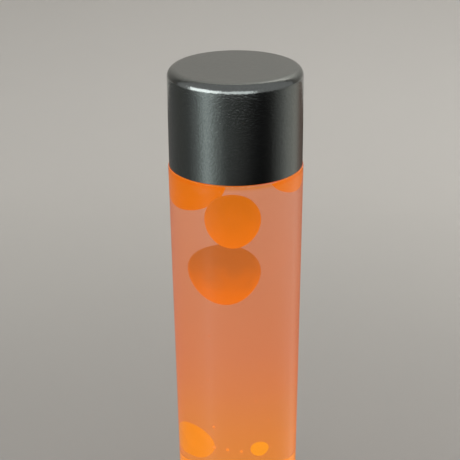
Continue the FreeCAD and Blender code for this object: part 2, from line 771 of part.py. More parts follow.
def lampholder_bracket():
    """Bent strip that bridges the bottom plate and carries the lampholder."""
    half = mm.bracket_length / 2
    span = mm.bracket_span / 2
    leg = span + mm.bracket_slope
    top = mm.bracket_rise
    thin = mm.bracket_sheet
    body = new_body("lampholder_bracket", z=plate_top)
    sketch = new_sketch(body, "bracket_side", "XZ_Plane")
    draw(sketch, [
        corner(-half, 0),
        corner(-leg, 0),
        corner(-span, top - thin),
        corner(span, top - thin),
        corner(leg, 0),
        corner(half, 0),
        corner(half, thin),
        corner(leg + thin / 2, thin),
        corner(span + thin / 2, top),
        corner(-span - thin / 2, top),
        corner(-leg - thin / 2, thin),
        corner(-half, thin),
    ])
    pad = body.newObject("PartDesign::Pad", "bracket_strip")
    pad.Profile = sketch
    pad.setExpression("Length", mm.bracket_width.text)
    pad.Midplane = True
    body.Tip = pad
    doc.recompute()
    holes = new_sketch(body, "bracket_holes", "XY_Plane")
    for reach in (mm.bracket_screw_reach, mm.holder_screw_reach):
        draw_circle(holes, reach, 0, mm.screw_radius + mm.fixed_gap)
        draw_circle(holes, -reach, 0, mm.screw_radius + mm.fixed_gap)
    cut_through(body, holes)
    return body


# The lampholder's wide mouth, and the height of the step at its end
holder_mouth_radius = mm.thread_radius + mm.mouth_step
holder_ledge = mm.holder_height - mm.holder_mouth
# The lampholder's round side is this much nearer at a lead entry than at its middle
entry_set_back = mm.holder_radius - root(
    mm.holder_radius * mm.holder_radius - mm.entry_reach * mm.entry_reach)


def lampholder_body():
    """Moulded lampholder with grip flutes, a stepped mouth and two lead entries."""
    body = turned("lampholder_body", [
        corner(0, 0),
        corner(mm.holder_radius, 0),
        corner(mm.holder_radius, mm.holder_step, rounding=0.8),
        corner(mm.holder_skirt, mm.holder_step),
        corner(mm.holder_skirt, mm.holder_height),
        corner(holder_mouth_radius, mm.holder_height),
        corner(holder_mouth_radius, holder_ledge),
        corner(mm.thread_radius + mm.thread_sheet + mm.fixed_gap, holder_ledge),
        corner(mm.thread_radius + mm.thread_sheet + mm.fixed_gap, mm.holder_floor),
        corner(0, mm.holder_floor),
    ], z=holder_foot)
    flute = new_sketch(body, "grip_flute", "XY_Plane", height=mm.holder_step)
    draw_circle(flute, mm.holder_skirt + mm.flute_radius / 2, 0, mm.flute_radius)
    cut = cut_through(body, flute, length=mm.holder_height - mm.holder_step, reverse=True)
    repeated(body, cut, mm.flute_count)
    entries = new_sketch(body, "lead_entries", "XZ_Plane", height=-mm.holder_radius - 1)
    for side in (1, -1):
        draw_circle(entries, side * mm.entry_reach, mm.entry_height, mm.wire_radius + mm.fixed_gap)
    cut_through(body, entries, length=mm.wire_entry + 1 + entry_set_back, reverse=True)
    screws = new_sketch(body, "holder_screw_holes", "XY_Plane")
    for side in (1, -1):
        draw_circle(screws, side * mm.holder_screw_reach, 0, mm.screw_radius + mm.fixed_gap)
    cut_through(body, screws, length=mm.holder_floor - mm.holder_web, reverse=True)
    return body


def lampholder_thread_shell():
    """Metal sleeve that takes the bulb's screw cap and hangs on the holder's inner step."""
    inner = mm.thread_radius
    outer = mm.thread_radius + mm.thread_sheet
    flange = holder_mouth_radius - mm.fixed_gap
    return turned("lampholder_thread_shell", [
        corner(inner, holder_ledge + mm.thread_sheet - mm.thread_length),
        corner(outer, holder_ledge + mm.thread_sheet - mm.thread_length),
        corner(outer, holder_ledge),
        corner(flange, holder_ledge),
        corner(flange, holder_ledge + mm.thread_sheet),
        corner(inner, holder_ledge + mm.thread_sheet, rounding=mm.thread_sheet * 0.8),
    ], z=holder_foot)


def lampholder_contact():
    """Folded brass strip on the holder's floor that presses on the bulb's tip."""
    thin = mm.contact_sheet
    rise = mm.contact_rise
    turn = mm.contact_length / 2
    body = new_body("lampholder_contact", z=holder_foot + mm.holder_floor)
    sketch = new_sketch(body, "contact_side", "XZ_Plane")
    draw(sketch, [
        corner(-turn, 0),
        corner(turn, 0, rounding=rise * 0.4),
        corner(turn, rise, rounding=rise * 0.4),
        corner(-turn / 2, rise),
        corner(-turn / 2, rise - thin),
        corner(turn - thin, rise - thin, rounding=0.1),
        corner(turn - thin, thin, rounding=0.1),
        corner(-turn, thin),
    ])
    pad = body.newObject("PartDesign::Pad", "contact_strip")
    pad.Profile = sketch
    pad.setExpression("Length", mm.contact_width.text)
    pad.Midplane = True
    body.Tip = pad
    doc.recompute()
    return body


# The terminal block's distance in front of the middle
block_place = plate_radius - mm.rim_wall - mm.block_margin - mm.block_depth / 2


def terminal_block():
    """Two-pole block in front of the holder, with wire entries and clamp screw wells."""
    half = mm.block_width / 2
    depth = mm.block_depth / 2
    body = new_body("terminal_block", y=-block_place, z=plate_top)
    sketch = new_sketch(body, "block_plan", "XY_Plane")
    draw(sketch, [
        corner(-half, -depth, rounding=1),
        corner(half, -depth, rounding=1),
        corner(half, depth, rounding=1),
        corner(-half, depth, rounding=1),
    ])
    pad = body.newObject("PartDesign::Pad", "block_body")
    pad.Profile = sketch
    pad.setExpression("Length", mm.block_height.text)
    body.Tip = pad
    doc.recompute()
    entries = new_sketch(body, "block_entries", "XZ_Plane")
    wells = new_sketch(body, "screw_wells", "XY_Plane", height=mm.block_height)
    for side in (1, -1):
        draw_circle(entries, side * mm.terminal_pitch / 2, mm.terminal_height, mm.wire_radius + mm.fixed_gap)
        draw_circle(wells, side * mm.terminal_pitch / 2, 0, mm.screw_head)
    cut_through(body, entries)
    cut_through(body, wells, length=mm.block_height - mm.terminal_height - mm.wire_radius - 2)
    return body


def rounded_route(points):
    """Wire of straight runs joined by tangent arcs, each as large as its two runs allow."""
    edges = []
    radii = []
    at = points[0]
    for before, here, after in zip(points, points[1:], points[2:]):
        back = before - here
        ahead = after - here
        turn = math.pi - back.getAngle(ahead)
        reach = 0.45 * min(back.Length, ahead.Length)
        start = here + back.normalize() * reach
        end = here + ahead.normalize() * reach
        weight = math.cos(turn / 2)
        middle = ((start + end) * 0.5 + here * weight) * (1 / (1 + weight))
        edges.append(Part.LineSegment(at, start).toShape())
        edges.append(Part.Arc(start, middle, end).toShape())
        radii.append(reach / math.tan(turn / 2))
        at = end
    edges.append(Part.LineSegment(at, points[-1]).toShape())
    return Part.Wire(edges), radii


def tube(path, radius):
    """Solid of round section along a path."""
    first = path.Edges[0]
    start = first.valueAt(first.FirstParameter)
    way = first.tangentAt(first.FirstParameter)
    section = Part.Wire([Part.makeCircle(radius, start, way)])
    shell = Part.BRepOffsetAPI.MakePipeShell(path)
    shell.add(section)
    shell.build()
    shell.makeSolid()
    return shell.shape()


def lead(name, side):
    """Insulated lead from the terminal block, past the holder's side, to its back."""
    low = mm.terminal_height.value
    high = mm.entry_height.value + mm.bracket_rise.value
    rise = high - low
    pole = side * mm.terminal_pitch.value / 2
    bow = side * mm.wire_bow.value
    ease = side * mm.lead_ease.value
    entry = side * mm.entry_reach.value
    room = mm.loop_room.value
    behind = mm.loop_reach.value
    beside = -mm.wire_radius.value
    block_end = mm.block_depth.value / 2 - block_place.value
    holder_back = mm.holder_radius.value - entry_set_back.value - mm.wire_entry.value + mm.fixed_gap.value
    points = [
        vector(pole, block_end - mm.wire_entry.value, low),
        vector(pole, block_end + mm.lead_straight.value, low),
        vector(bow - ease, (block_end + beside) / 2, low + rise / 4),
        vector(bow, beside, low + rise * 2 / 3),
        vector(bow - ease / 2, behind - room, high),
        vector(entry + side * room / 2, behind, high + rise / 8),
        vector(entry, behind - room / 2, high),
        vector(entry, holder_back, high),
    ]
    path, radii = rounded_route(points)
    print(name, "bend radii", [round(r, 1) for r in radii], "length", round(path.Length, 1))
    return shaped(name, tube(path, mm.wire_radius.value), z=plate_top)


# Bulb


def bulb_contact():
    """Solder spot at the bulb's tip."""
    return turned("bulb_contact", [
        corner(0, 0),
        corner(mm.tip_radius, 0, rounding=mm.tip_height / 2),
        corner(mm.tip_radius, mm.tip_height),
        corner(0, mm.tip_height),
    ], z=bulb_foot)


def bulb_insulator():
    """Black glass cone between the tip and the screw cap."""
    wide = mm.bulb_cap_radius - mm.bulb_cap_sheet - mm.insulator_gap
    return turned("bulb_insulator", [
        corner(0, mm.tip_height),
        corner(mm.insulator_radius, mm.tip_height),
        corner(wide, mm.insulator_flare),
        corner(wide, mm.insulator_top),
        corner(0, mm.insulator_top),
    ], z=bulb_foot)


def bulb_screw_cap():
    """Metal cap of the bulb, with a flared end that holds the glass."""
    inner = mm.bulb_cap_radius - mm.bulb_cap_sheet
    flare = mm.bulb_neck - 0.3
    return turned("bulb_screw_cap", [
        corner(inner, mm.bulb_cap_foot),
        corner(mm.bulb_cap_radius, mm.bulb_cap_foot, rounding=0.3),
        corner(mm.bulb_cap_radius, mm.bulb_cap_height - 3, rounding=1),
        corner(flare, mm.bulb_cap_height - 1.4, rounding=0.6),
        corner(flare, mm.bulb_cap_height),
        corner(flare - mm.bulb_cap_sheet, mm.bulb_cap_height),
        corner(flare - mm.bulb_cap_sheet, mm.bulb_cap_height - 1.2, rounding=0.3),
        corner(inner, mm.bulb_cap_height - 2.8, rounding=0.7),
    ], z=bulb_foot)


# The bulb's glass where the screw cap grips it
bulb_seat = mm.bulb_cap_radius - mm.bulb_cap_sheet - mm.fixed_gap


def bulb_envelope():
    """Blown reflector glass: a narrow neck, a swelling side and a rounded face."""
    wall = mm.bulb_glass
    shoulder = mm.bulb_cap_height + 0.6
    inside_radius = mm.bulb_radius - wall
    inside_face = mm.bulb_face - wall
    face_middle = mm.bulb_length - mm.bulb_face
    widest = face_middle + root(mm.bulb_face * mm.bulb_face - mm.bulb_radius * mm.bulb_radius)
    inside_widest = face_middle + root(inside_face * inside_face - inside_radius * inside_radius)
    return turned("bulb_envelope", [
        corner(bulb_seat - wall, mm.stem_foot),
        corner(bulb_seat, mm.stem_foot),
        corner(bulb_seat, shoulder - 0.3),
        corner(mm.bulb_neck, shoulder + 1.2),
        corner(mm.bulb_radius, mm.bulb_flare, bend=mm.bulb_swell),
        corner(mm.bulb_radius, widest),
        corner(0, mm.bulb_length, bend=mm.bulb_face),
        corner(0, mm.bulb_length - wall),
        corner(inside_radius, inside_widest, bend=-inside_face),
        corner(inside_radius, mm.bulb_flare),
        corner(mm.bulb_neck - wall, shoulder + 1.6, bend=-(mm.bulb_swell - wall)),
        corner(bulb_seat - wall, shoulder),
    ], z=bulb_foot)


def bulb_stem():
    """Glass stem inside the bulb that carries the filament."""
    wide = bulb_seat - mm.bulb_glass - mm.fixed_gap
    return turned("bulb_stem", [
        corner(0, mm.stem_foot),
        corner(wide, mm.stem_foot),
        corner(wide, mm.stem_foot + 1.5),
        corner(mm.stem_radius, mm.stem_foot + wide + 1.5),
        corner(mm.stem_radius, mm.stem_height),
        corner(0, mm.stem_height),
    ], z=bulb_foot)


def bulb_filament():
    """Filament bowed between two support wires that stand on the stem."""
    foot = mm.stem_height.value + mm.filament_wire.value
    top = mm.bulb_flare.value
    reach = mm.bulb_radius.value / 2.4
    near = mm.stem_radius.value - 0.7
    points = [
        vector(-near, 0, foot),
        vector(-reach, 0, top - 4),
        vector(-reach, 0, top + 1),
        vector(reach, 0, top + 1),
        vector(reach, 0, top - 4),
        vector(near, 0, foot),
    ]
    path, _ = rounded_route(points)
    return shaped("bulb_filament", tube(path, mm.filament_wire.value), z=bulb_foot)


# Bottle


def bottle_inside(gap):
    """Inner outline of the bottle from the axis up to the lip, drawn in by a gap."""
    wall = mm.glass_wall + gap
    floor = mm.punt_depth + mm.glass_wall + gap
    under_land = land_height - mm.step_below
    over_land = land_height + mm.step_above
    shoulder = land_height + mm.shoulder_height - wall
    round_in = mm.shoulder_round - wall
    return [
        corner(0, floor),
        corner(bottle_radius_at(floor) - wall, floor, rounding=mm.inner_corner),
        corner(bottle_radius_at(under_land) - wall, under_land, rounding=mm.step_blend),
        corner(skirt_radius - wall, over_land, rounding=mm.step_blend),
        corner(skirt_radius - wall, shoulder, rounding=round_in),
        corner(mm.bore_radius - gap, shoulder + mm.shoulder_rise, rounding=mm.neck_round - 2 + gap),
    ]


# The hollow under the bottle, and the radius of its shallow arc
punt_radius = foot_flat - mm.punt_margin
punt_curve = (punt_radius * punt_radius + mm.punt_depth * mm.punt_depth) / (2 * mm.punt_depth)


def glass_bottle():
    """Blown bottle: hollow foot, tapered wall, step for the cap, shoulder, neck and beaded lip."""
    shoulder = land_height + mm.shoulder_height
    bead = lip_height - mm.bead_height
    inside = bottle_inside(as_size(0))
    outside = [
        corner(0, mm.punt_depth),
        corner(punt_radius, 0, bend=-punt_curve),
        corner(bottle_radius_at(0), 0, rounding=mm.bottle_corner),
        corner(glass_radius, land_height, rounding=mm.land_round),
        corner(skirt_radius, land_height),
        corner(skirt_radius, shoulder, rounding=mm.shoulder_round),
        corner(mm.neck_radius, shoulder + mm.shoulder_rise, rounding=mm.neck_round),
        corner(mm.neck_radius, bead),
        corner(mm.bead_radius, bead),
        corner(mm.bead_radius, lip_height, rounding=mm.bead_round),
        corner(mm.bore_radius, lip_height),
    ]
    return turned("glass_bottle", outside + inside[::-1], z=bottle_foot)


def room_form():
    """Everything inside the bottle up to its lip, as a form that clips the clinging wax."""
    bore = mm.bore_radius - mm.film_gap
    return turned("room_form", bottle_inside(mm.film_gap) + [
        corner(bore, lip_height),
        corner(0, lip_height),
    ], z=bottle_foot)


def pool_top(gap):
    """Radius where the pool's domed top meets the glass, and the dome's own radius."""
    reach = bottle_radius_at(mm.pool_side + gap) - mm.glass_wall - mm.film_gap
    rise = mm.pool_middle - mm.pool_side
    return reach, (reach * reach + rise * rise) / (2 * rise)


def pool_form():
    """The wax on the bottle's floor before the coil's room is cut out of it."""
    reach, dome = pool_top(as_size(0))
    return turned("pool_form", bottle_inside(mm.film_gap)[:2] + [
        corner(reach, mm.pool_side),
        corner(0, mm.pool_middle, bend=dome),
    ], z=bottle_foot)


# The coil's middle line: its radius, and its start just above the bottle's floor
coil_radius = bottle_radius_at(as_size(0)) - mm.glass_wall - mm.coil_inset
coil_floor = mm.punt_depth + mm.glass_wall + mm.loose_gap + mm.coil_wire


def coil_room_form():
    """Ring-shaped room that the wax leaves for the coil."""
    half = mm.coil_wire + mm.loose_gap
    height = mm.coil_pitch * mm.coil_turns + coil_floor + half
    return turned("coil_room_form", [
        corner(coil_radius - half, 0),
        corner(coil_radius + half, 0),
        corner(coil_radius + half, height),
        corner(coil_radius - half, height),
    ], z=bottle_foot)


def liquid_form():
    """The liquid between the pool and its level in the neck, before the wax is cut out."""
    reach, dome = pool_top(mm.film_gap)
    bore = mm.bore_radius - mm.film_gap
    return turned("liquid_form", [
        corner(0, mm.pool_middle + mm.film_gap),
        corner(reach, mm.pool_side + mm.film_gap, bend=-dome),
        *bottle_inside(mm.film_gap)[2:],
        corner(bore, mm.liquid_level),
        corner(0, mm.liquid_level),
    ], z=bottle_foot)


def coil_path():
    """Helix as biarcs of a quarter turn, standing on the bottle's floor."""
    radius = coil_radius.value
    rise = mm.coil_pitch.value / (2 * math.pi)
    floor = coil_floor.value
    quarters = round(mm.coil_turns.value * 4)

    def point(angle):
        return vector(radius * math.cos(angle), radius * math.sin(angle), floor + rise * angle)

    def heading(angle):
        return vector(-radius * math.sin(angle), radius * math.cos(angle), rise).normalize()

    edges = []
    for quarter in range(quarters):
        a, b = quarter * math.pi / 2, (quarter + 1) * math.pi / 2
        chord = point(b) - point(a)
        both = heading(a) + heading(b)
        square = 2 * (1 - heading(a).dot(heading(b)))
        straight = chord.dot(both)
        reach = (math.sqrt(straight ** 2 + square * chord.Length ** 2) - straight) / square
        near = point(a) + heading(a) * reach
        far = point(b) - heading(b) * reach
        joint = (near + far) * 0.5
        edges.append(arc_by_control(point(a), near, joint))
        edges.append(arc_by_control(joint, far, point(b)))
    return Part.Wire(edges)


def arc_by_control(start, control, end):
    """Arc from start to end whose end tangents meet at the control point."""
    weight = (end - start).Length / (2 * (control - start).Length)
    middle = ((start + end) * 0.5 + control * weight) * (1 / (1 + weight))
    return Part.Arc(start, middle, end).toShape()


def least_coil_gap(path):
    """Least distance between neighbouring turns, wall to wall, measured on points."""
    points = path.discretize(Distance=1.0)
    turn = int(len(points) / mm.coil_turns.value)
    near = min(
        (points[i] - points[j]).Length
        for i in range(len(points))
        for j in range(i + turn // 2, len(points))
    )
    return near - 2 * mm.coil_wire.value


def oval(half_width, half_height, blunt):
    """Outline of an upright oval from two end arcs and a side arc that meets both smoothly."""
    end = half_width * blunt
    middle = half_height - end
    side = (half_width * half_width + middle * middle - end * end) / (2 * (half_width - end))
    share = side / (side - end)
    x = (side - half_width) * (share - 1)
    z = middle * share
    return [
        corner(0, -half_height),
        corner(x, -z, bend=end),
        corner(x, z, bend=side),
        corner(0, half_height, bend=end),
    ]


def drop(half_width, half_height):
    """Outline of a small upright drop with round ends and a short straight side."""
    middle = half_height - half_width
    return [
        corner(0, -half_height),
        corner(half_width, -middle, bend=half_width),
        corner(half_width, middle),
        corner(0, half_height, bend=half_width),
    ]


def ball_form(name, radius, x, y, z):
    """A sphere tied to the sheet, placed in the bottle's frame."""
    ball = doc.addObject("Part::Sphere", name)
    ball.Label = name
    ball.setExpression("Radius", as_size(radius).text)
    place(ball, x, y, bottle_foot + z)
    doc.recompute()
    return ball


def joined(name, kind, pieces):
    """A sub-part or form made from others by a cut, a common part or a plain group."""
    piece = doc.addObject(f"Part::{kind}", name)
    piece.Label = name
    if kind == "Compound":
        piece.Links = pieces
    else:
        piece.Base, piece.Tool = pieces
    doc.recompute()
    return piece


def drifting_blobs():
    """The three blobs that drift freely, and the room that the liquid leaves around them."""
    round_x, round_y = near_glass(mm.round_z, mm.round_width + mm.round_room, mm.round_turn)
    gap = mm.loose_gap
    blobs = [
        ("wax_round", round_x, round_y, mm.round_z,
         oval(mm.round_width, mm.round_height, mm.round_blunt),
         oval(mm.round_width + gap, mm.round_height + gap, mm.round_blunt)),
        ("wax_ovoid", mm.ovoid_x, mm.ovoid_y, mm.ovoid_z,
         oval(mm.ovoid_width, mm.ovoid_height, mm.ovoid_blunt),
         oval(mm.ovoid_width + gap, mm.ovoid_height + gap, mm.ovoid_blunt)),
        ("wax_small", mm.small_x, mm.small_y, mm.small_z,
         drop(mm.small_width, mm.small_height),
         drop(mm.small_width + gap, mm.small_height + gap)),
    ]
    rooms = []
    for name, x, y, z, outline, wide in blobs:
        turned(name, outline, x=x, y=y, z=bottle_foot + z)
        rooms.append(turned(f"{name}_form", wide, x=x, y=y, z=bottle_foot + z))
    return rooms


def clinging_wax(room):
    """The wax that clings to the glass: balls clipped by the inside of the bottle."""
    left_z = land_height - mm.left_mass_drop
    right_z = land_height - mm.right_mass_drop
    masses = [
        ("wax_upper_left", mm.left_mass_radius, left_z, mm.left_mass_inset, mm.left_mass_turn),
        ("wax_upper_right", mm.right_mass_radius, right_z, mm.right_mass_inset, mm.right_mass_turn),
        ("wax_wall_lobe", mm.wall_lobe_radius, mm.wall_lobe_z, mm.wall_lobe_inset, mm.wall_lobe_turn),
    ]
    rooms = []
    for name, radius, z, inset, turn in masses:
        x, y = near_glass(z, inset, turn)
        joined(name, "Common", [room, ball_form(f"{name}_ball_form", radius, x, y, z)])
        rooms.append(ball_form(f"{name}_form", radius + mm.film_gap, x, y, z))
    return rooms


def near_glass(height, inset, turn):
    """The place at a distance inward from the glass, at an angle in degrees."""
    reach = bottle_radius_at(height) - mm.glass_wall - inset
    return reach * cosine(turn), reach * sine(turn)


def wax_droplets():
    """A short row of droplets above the pool, with one stray droplet over its first."""
    count = 3
    drops = []
    rooms = []
    for number in range(count + 1):
        along = number % count
        x = mm.droplet_x + along * mm.droplet_step
        z = mm.droplet_z - along * mm.droplet_fall
        if number == count:
            z = z + mm.droplet_stray
        radius = mm.droplet_radius * (1 - 0.12 * along)
        drops.append(ball_form(f"droplet_{number}_form", radius, x, mm.droplet_y, z))
        rooms.append(ball_form(f"droplet_room_{number}_form", radius + mm.film_gap, x, mm.droplet_y, z))
    joined("wax_droplets", "Compound", drops)
    return rooms


def bottle_contents():
    """The wire coil, the wax in and around it, and the liquid that fills the rest."""
    path = coil_path()
    print("wire_coil least gap between turns", round(least_coil_gap(path), 2))
    shaped("wire_coil", tube(path, mm.coil_wire.value), z=bottle_foot)
    joined("wax_pool", "Cut", [pool_form(), coil_room_form()])
    rooms = clinging_wax(room_form()) + drifting_blobs() + wax_droplets()
    joined("liquid_fill", "Cut", [liquid_form(), joined("wax_room_form", "Compound", rooms)])


# The seal ends a little inside the lip's outer edge
seal_radius = mm.bead_radius - 0.8


def crown_seal():
    """Soft disc between the lip and the crown."""
    return turned("crown_seal", [
        corner(0, lip_height),
        corner(seal_radius, lip_height),
        corner(seal_radius, lip_height + mm.seal_thickness),
        corner(0, lip_height + mm.seal_thickness),
    ], z=bottle_foot)


def fluted_ring(radius, wave, height):
    """Closed wire of arcs that swing out and in around a circle, one pair for each flute."""
    flutes = round(mm.crown_flutes.value)
    quarter = math.pi / (2 * flutes)

    def at(step, swing):
        angle = step * quarter
        return vector((radius + swing) * math.cos(angle), (radius + swing) * math.sin(angle), height)

    edges = []
    for flute in range(flutes):
        first = 4 * flute
        edges.append(Part.Arc(at(first, 0), at(first + 1, wave), at(first + 2, 0)).toShape())
        edges.append(Part.Arc(at(first + 2, 0), at(first + 3, -wave), at(first + 4, 0)).toShape())
    return Part.Wire(edges)


def crown_closure():
    """Pressed steel crown: a flat top with a rounded edge that runs out into flutes."""
    thin = mm.crown_sheet.value
    under = lip_height.value + mm.seal_thickness.value
    top = under + thin
    foot = top - mm.crown_height.value
    round_top = mm.bead_radius.value + 0.3
    waist = top - 1.6
    out = thin
    disc = turned_solid([
        corner(0, under),
        corner(round_top - 0.6, under),
        corner(round_top, waist, bend=-1.3),
        corner(round_top + out, waist),
        corner(round_top - 0.5, top, bend=1.9),
        corner(0, top),
    ])
    skirt = Part.makeLoft([
        fluted_ring(round_top + out, 0.0001, waist),
        fluted_ring(mm.crown_radius.value, mm.crown_wave.value, foot),
    ], True, True)
    hollow = Part.makeLoft([
        fluted_ring(round_top, 0.0001, waist),
        fluted_ring(mm.crown_radius.value - out, mm.crown_wave.value, foot),
    ], True, True)
    return shaped("crown_closure", disc.fuse(skirt.cut(hollow)), z=bottle_foot)


# Cap


def cap_shell():
    """Drawn metal cap with a flat top, a rounded edge and a straight side."""
    inner = mm.housing_radius - mm.cap_wall
    inside_top = mm.cap_height - mm.cap_wall
    return turned("cap_shell", [
        corner(inner, 0),
        corner(mm.housing_radius, 0, rounding=mm.sheet_round),
        corner(mm.housing_radius, mm.cap_height, rounding=mm.cap_edge),
        corner(0, mm.cap_height),
        corner(0, inside_top),
        corner(inner, inside_top, rounding=mm.cap_edge - mm.cap_wall),
    ], z=rim_height)


def cap_liner():
    """Soft ring in the cap's mouth that grips the bottle's collar."""
    inner = liner_outer - mm.liner_thickness
    return turned("cap_liner", [
        corner(inner, mm.liner_rise),
        corner(liner_outer, mm.liner_rise),
        corner(liner_outer, mm.liner_rise + mm.liner_height),
        corner(inner, mm.liner_rise + mm.liner_height),
    ], z=rim_height)


def build():
    base_shell()
    base_plate()
    foot_ring()
    bottle_ledge()
    seat_pads()
    cord_gland()
    gland_nut()
    screw_length = mm.base_wall + mm.plate_thickness
    screw("plate_screws", mm.plate_screw_count, plate_screw_circle, mm.foot_show, screw_length, turn=45)
    screw("bracket_screws", 2, mm.bracket_screw_reach, plate_top + mm.bracket_sheet,
          mm.bracket_sheet + mm.plate_thickness, down=True)
    lampholder_bracket()
    screw("holder_screws", 2, mm.holder_screw_reach, holder_foot - mm.bracket_sheet,
          mm.bracket_sheet + mm.holder_floor - mm.holder_web - mm.holder_screw_gap)
    lampholder_body()
    lampholder_thread_shell()
    lampholder_contact()
    terminal_block()
    lead("lead_live", 1)
    lead("lead_neutral", -1)
    bulb_contact()
    bulb_insulator()
    bulb_screw_cap()
    bulb_envelope()
    bulb_stem()
    bulb_filament()
    glass_bottle()
    bottle_contents()
    crown_seal()
    crown_closure()
    cap_shell()
    cap_liner()


def check_and_write():
    """Stop on any failed object, then write each sub-part to its own file."""
    doc.recompute()
    for item in doc.Objects:
        if {"Invalid", "Error"} & set(item.State):
            raise RuntimeError(f"{item.Name} failed")
    os.makedirs("parts", exist_ok=True)
    for item in doc.Objects:
        in_body = item.getParentGeoFeatureGroup() is not None
        if in_body or not hasattr(item, "Shape") or item.Label.endswith("_form"):
            continue
        if item.Shape.isNull() or not item.Shape.isValid() or not item.Shape.Solids:
            raise RuntimeError(f"{item.Label} has no valid shape")
        item.Shape.exportStep(f"parts/{item.Label}.step")
        print(item.Label, "solids", len(item.Shape.Solids), "volume", round(item.Shape.Volume, 1))


build()
check_and_write()
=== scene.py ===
import math

import bpy
import numpy as np
from mathutils import Matrix, Vector


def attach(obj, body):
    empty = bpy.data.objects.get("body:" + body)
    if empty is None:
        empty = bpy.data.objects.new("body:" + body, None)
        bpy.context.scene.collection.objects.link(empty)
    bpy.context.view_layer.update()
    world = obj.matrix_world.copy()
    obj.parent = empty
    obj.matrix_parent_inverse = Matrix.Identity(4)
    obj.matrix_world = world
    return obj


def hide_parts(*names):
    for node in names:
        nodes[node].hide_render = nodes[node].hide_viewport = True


# Liquid motion lamp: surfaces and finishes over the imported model.
# Metres, +Z up, origin in the middle of the underside, cord entry towards +Y.

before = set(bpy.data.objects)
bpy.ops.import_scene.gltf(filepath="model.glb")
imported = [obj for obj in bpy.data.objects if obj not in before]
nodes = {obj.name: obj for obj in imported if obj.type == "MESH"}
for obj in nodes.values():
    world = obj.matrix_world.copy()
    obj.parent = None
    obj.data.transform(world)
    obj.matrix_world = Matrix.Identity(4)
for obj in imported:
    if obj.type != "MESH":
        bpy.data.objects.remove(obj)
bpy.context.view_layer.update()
print("frame loaded:", len(nodes), "nodes")


# Shader maths

class Wire:
    # A node's output that can be added, multiplied and so on like a number

    def __init__(self, finish, socket):
        self.finish = finish
        self.socket = socket

    def maths(self, operation, first, second):
        return self.finish.node("ShaderNodeMath", {"operation": operation}, [first, second])

    def __add__(self, other):
        return self.maths("ADD", self, other)

    def __radd__(self, other):
        return self.maths("ADD", other, self)

    def __sub__(self, other):
        return self.maths("SUBTRACT", self, other)

    def __rsub__(self, other):
        return self.maths("SUBTRACT", other, self)

    def __mul__(self, other):
        return self.maths("MULTIPLY", self, other)

    def __rmul__(self, other):
        return self.maths("MULTIPLY", other, self)

    def __truediv__(self, other):
        return self.maths("DIVIDE", self, other)

    def __pow__(self, other):
        return self.maths("POWER", self, other)


class Finish:
    # One material: a principled shader, and the patterns that feed it

    def __init__(self, name, **constants):
        self.material = bpy.data.materials.new(name)
        self.material.use_nodes = True
        self.tree = self.material.node_tree
        self.tree.nodes.clear()
        self.shader = self.tree.nodes.new("ShaderNodeBsdfPrincipled")
        output = self.tree.nodes.new("ShaderNodeOutputMaterial")
        self.tree.links.new(self.shader.outputs[0], output.inputs["Surface"])
        for socket, value in constants.items():
            self.set(socket, value)

    # Puts a number, a colour or a wire on one of the shader's sockets
    def set(self, socket, value):
        named = {"colour": "Base Color", "roughness": "Roughness", "metallic": "Metallic", "ior": "IOR",
                 "transmission": "Transmission Weight", "coat": "Coat Weight", "coatRoughness": "Coat Roughness",
                 "glow": "Emission Color", "glowStrength": "Emission Strength", "alpha": "Alpha",
                 "subsurface": "Subsurface Weight", "subsurfaceReach": "Subsurface Radius",
                 "subsurfaceScale": "Subsurface Scale", "specular": "Specular IOR Level",
                 "mirrorTint": "Specular Tint", "normal": "Normal"}
        self.feed(self.shader.inputs[named[socket]], value)

    # Links a wire to a socket, or writes a number or colour in it
    def feed(self, socket, value):
        if isinstance(value, Wire):
            self.tree.links.new(value.socket, socket)
        elif socket.type == "RGBA":
            socket.default_value = (*value[:3], 1.0)
        else:
            socket.default_value = value

    # Any node: its type, its settings, then the values or wires of its inputs
    def node(self, kind, settings=None, inputs=None, output=0):
        made = self.tree.nodes.new(kind)
        for key, value in (settings or {}).items():
            if key == "stops":
                elements = made.color_ramp.elements
                elements.remove(elements[1])
                elements[0].position = value[0][0]
                elements[0].color = (*value[0][1], 1.0)
                for place, colour in value[1:]:
                    elements.new(place).color = (*colour, 1.0)
            else:
                setattr(made, key, value)
        pairs = inputs.items() if isinstance(inputs, dict) else enumerate(inputs or [])
        for key, value in pairs:
            self.feed(made.inputs[key], value)
        return Wire(self, made.outputs[output])

    # The place on the piece, which all patterns follow
    def place(self):
        return self.node("ShaderNodeTexCoord", output="Object")

    # One coordinate of the piece in metres
    def along(self, axis):
        return self.node("ShaderNodeSeparateXYZ", None, [self.place()], output=axis)

    # 0 where value is low, 1 where it is high, smooth between
    def step(self, value, low, high):
        return self.node("ShaderNodeMapRange", {"interpolation_type": "SMOOTHSTEP"},
                         {"Value": value, "From Min": low, "From Max": high})

    # Clouds of about the given size in metres, 0 to 1
    def noise(self, size, detail=2.0, stretch=None):
        where = self.place()
        if stretch:
            where = self.node("ShaderNodeVectorMath", {"operation": "MULTIPLY"}, [where, stretch])
        return self.node("ShaderNodeTexNoise", None, {"Vector": where, "Scale": 1 / size, "Detail": detail})

    # Cells of about the given size: a random number for each cell
    def cells(self, size):
        colour = self.node("ShaderNodeTexVoronoi", None, {"Vector": self.place(), "Scale": 1 / size}, output="Color")
        return self.node("ShaderNodeSeparateColor", None, [colour], output="Red")

    def mix(self, share, first, second, blend="MIX"):
        return self.node("ShaderNodeMix", {"data_type": "RGBA", "blend_type": blend},
                         {0: share, 6: first, 7: second}, output=2)

    def ramp(self, value, stops):
        return self.node("ShaderNodeValToRGB", {"stops": stops}, [value])

    def bump(self, height, depth, strength=1.0):
        self.set("normal", self.node("ShaderNodeBump", None,
                                     {"Height": height, "Distance": depth, "Strength": strength}, output="Normal"))


# Surfaces

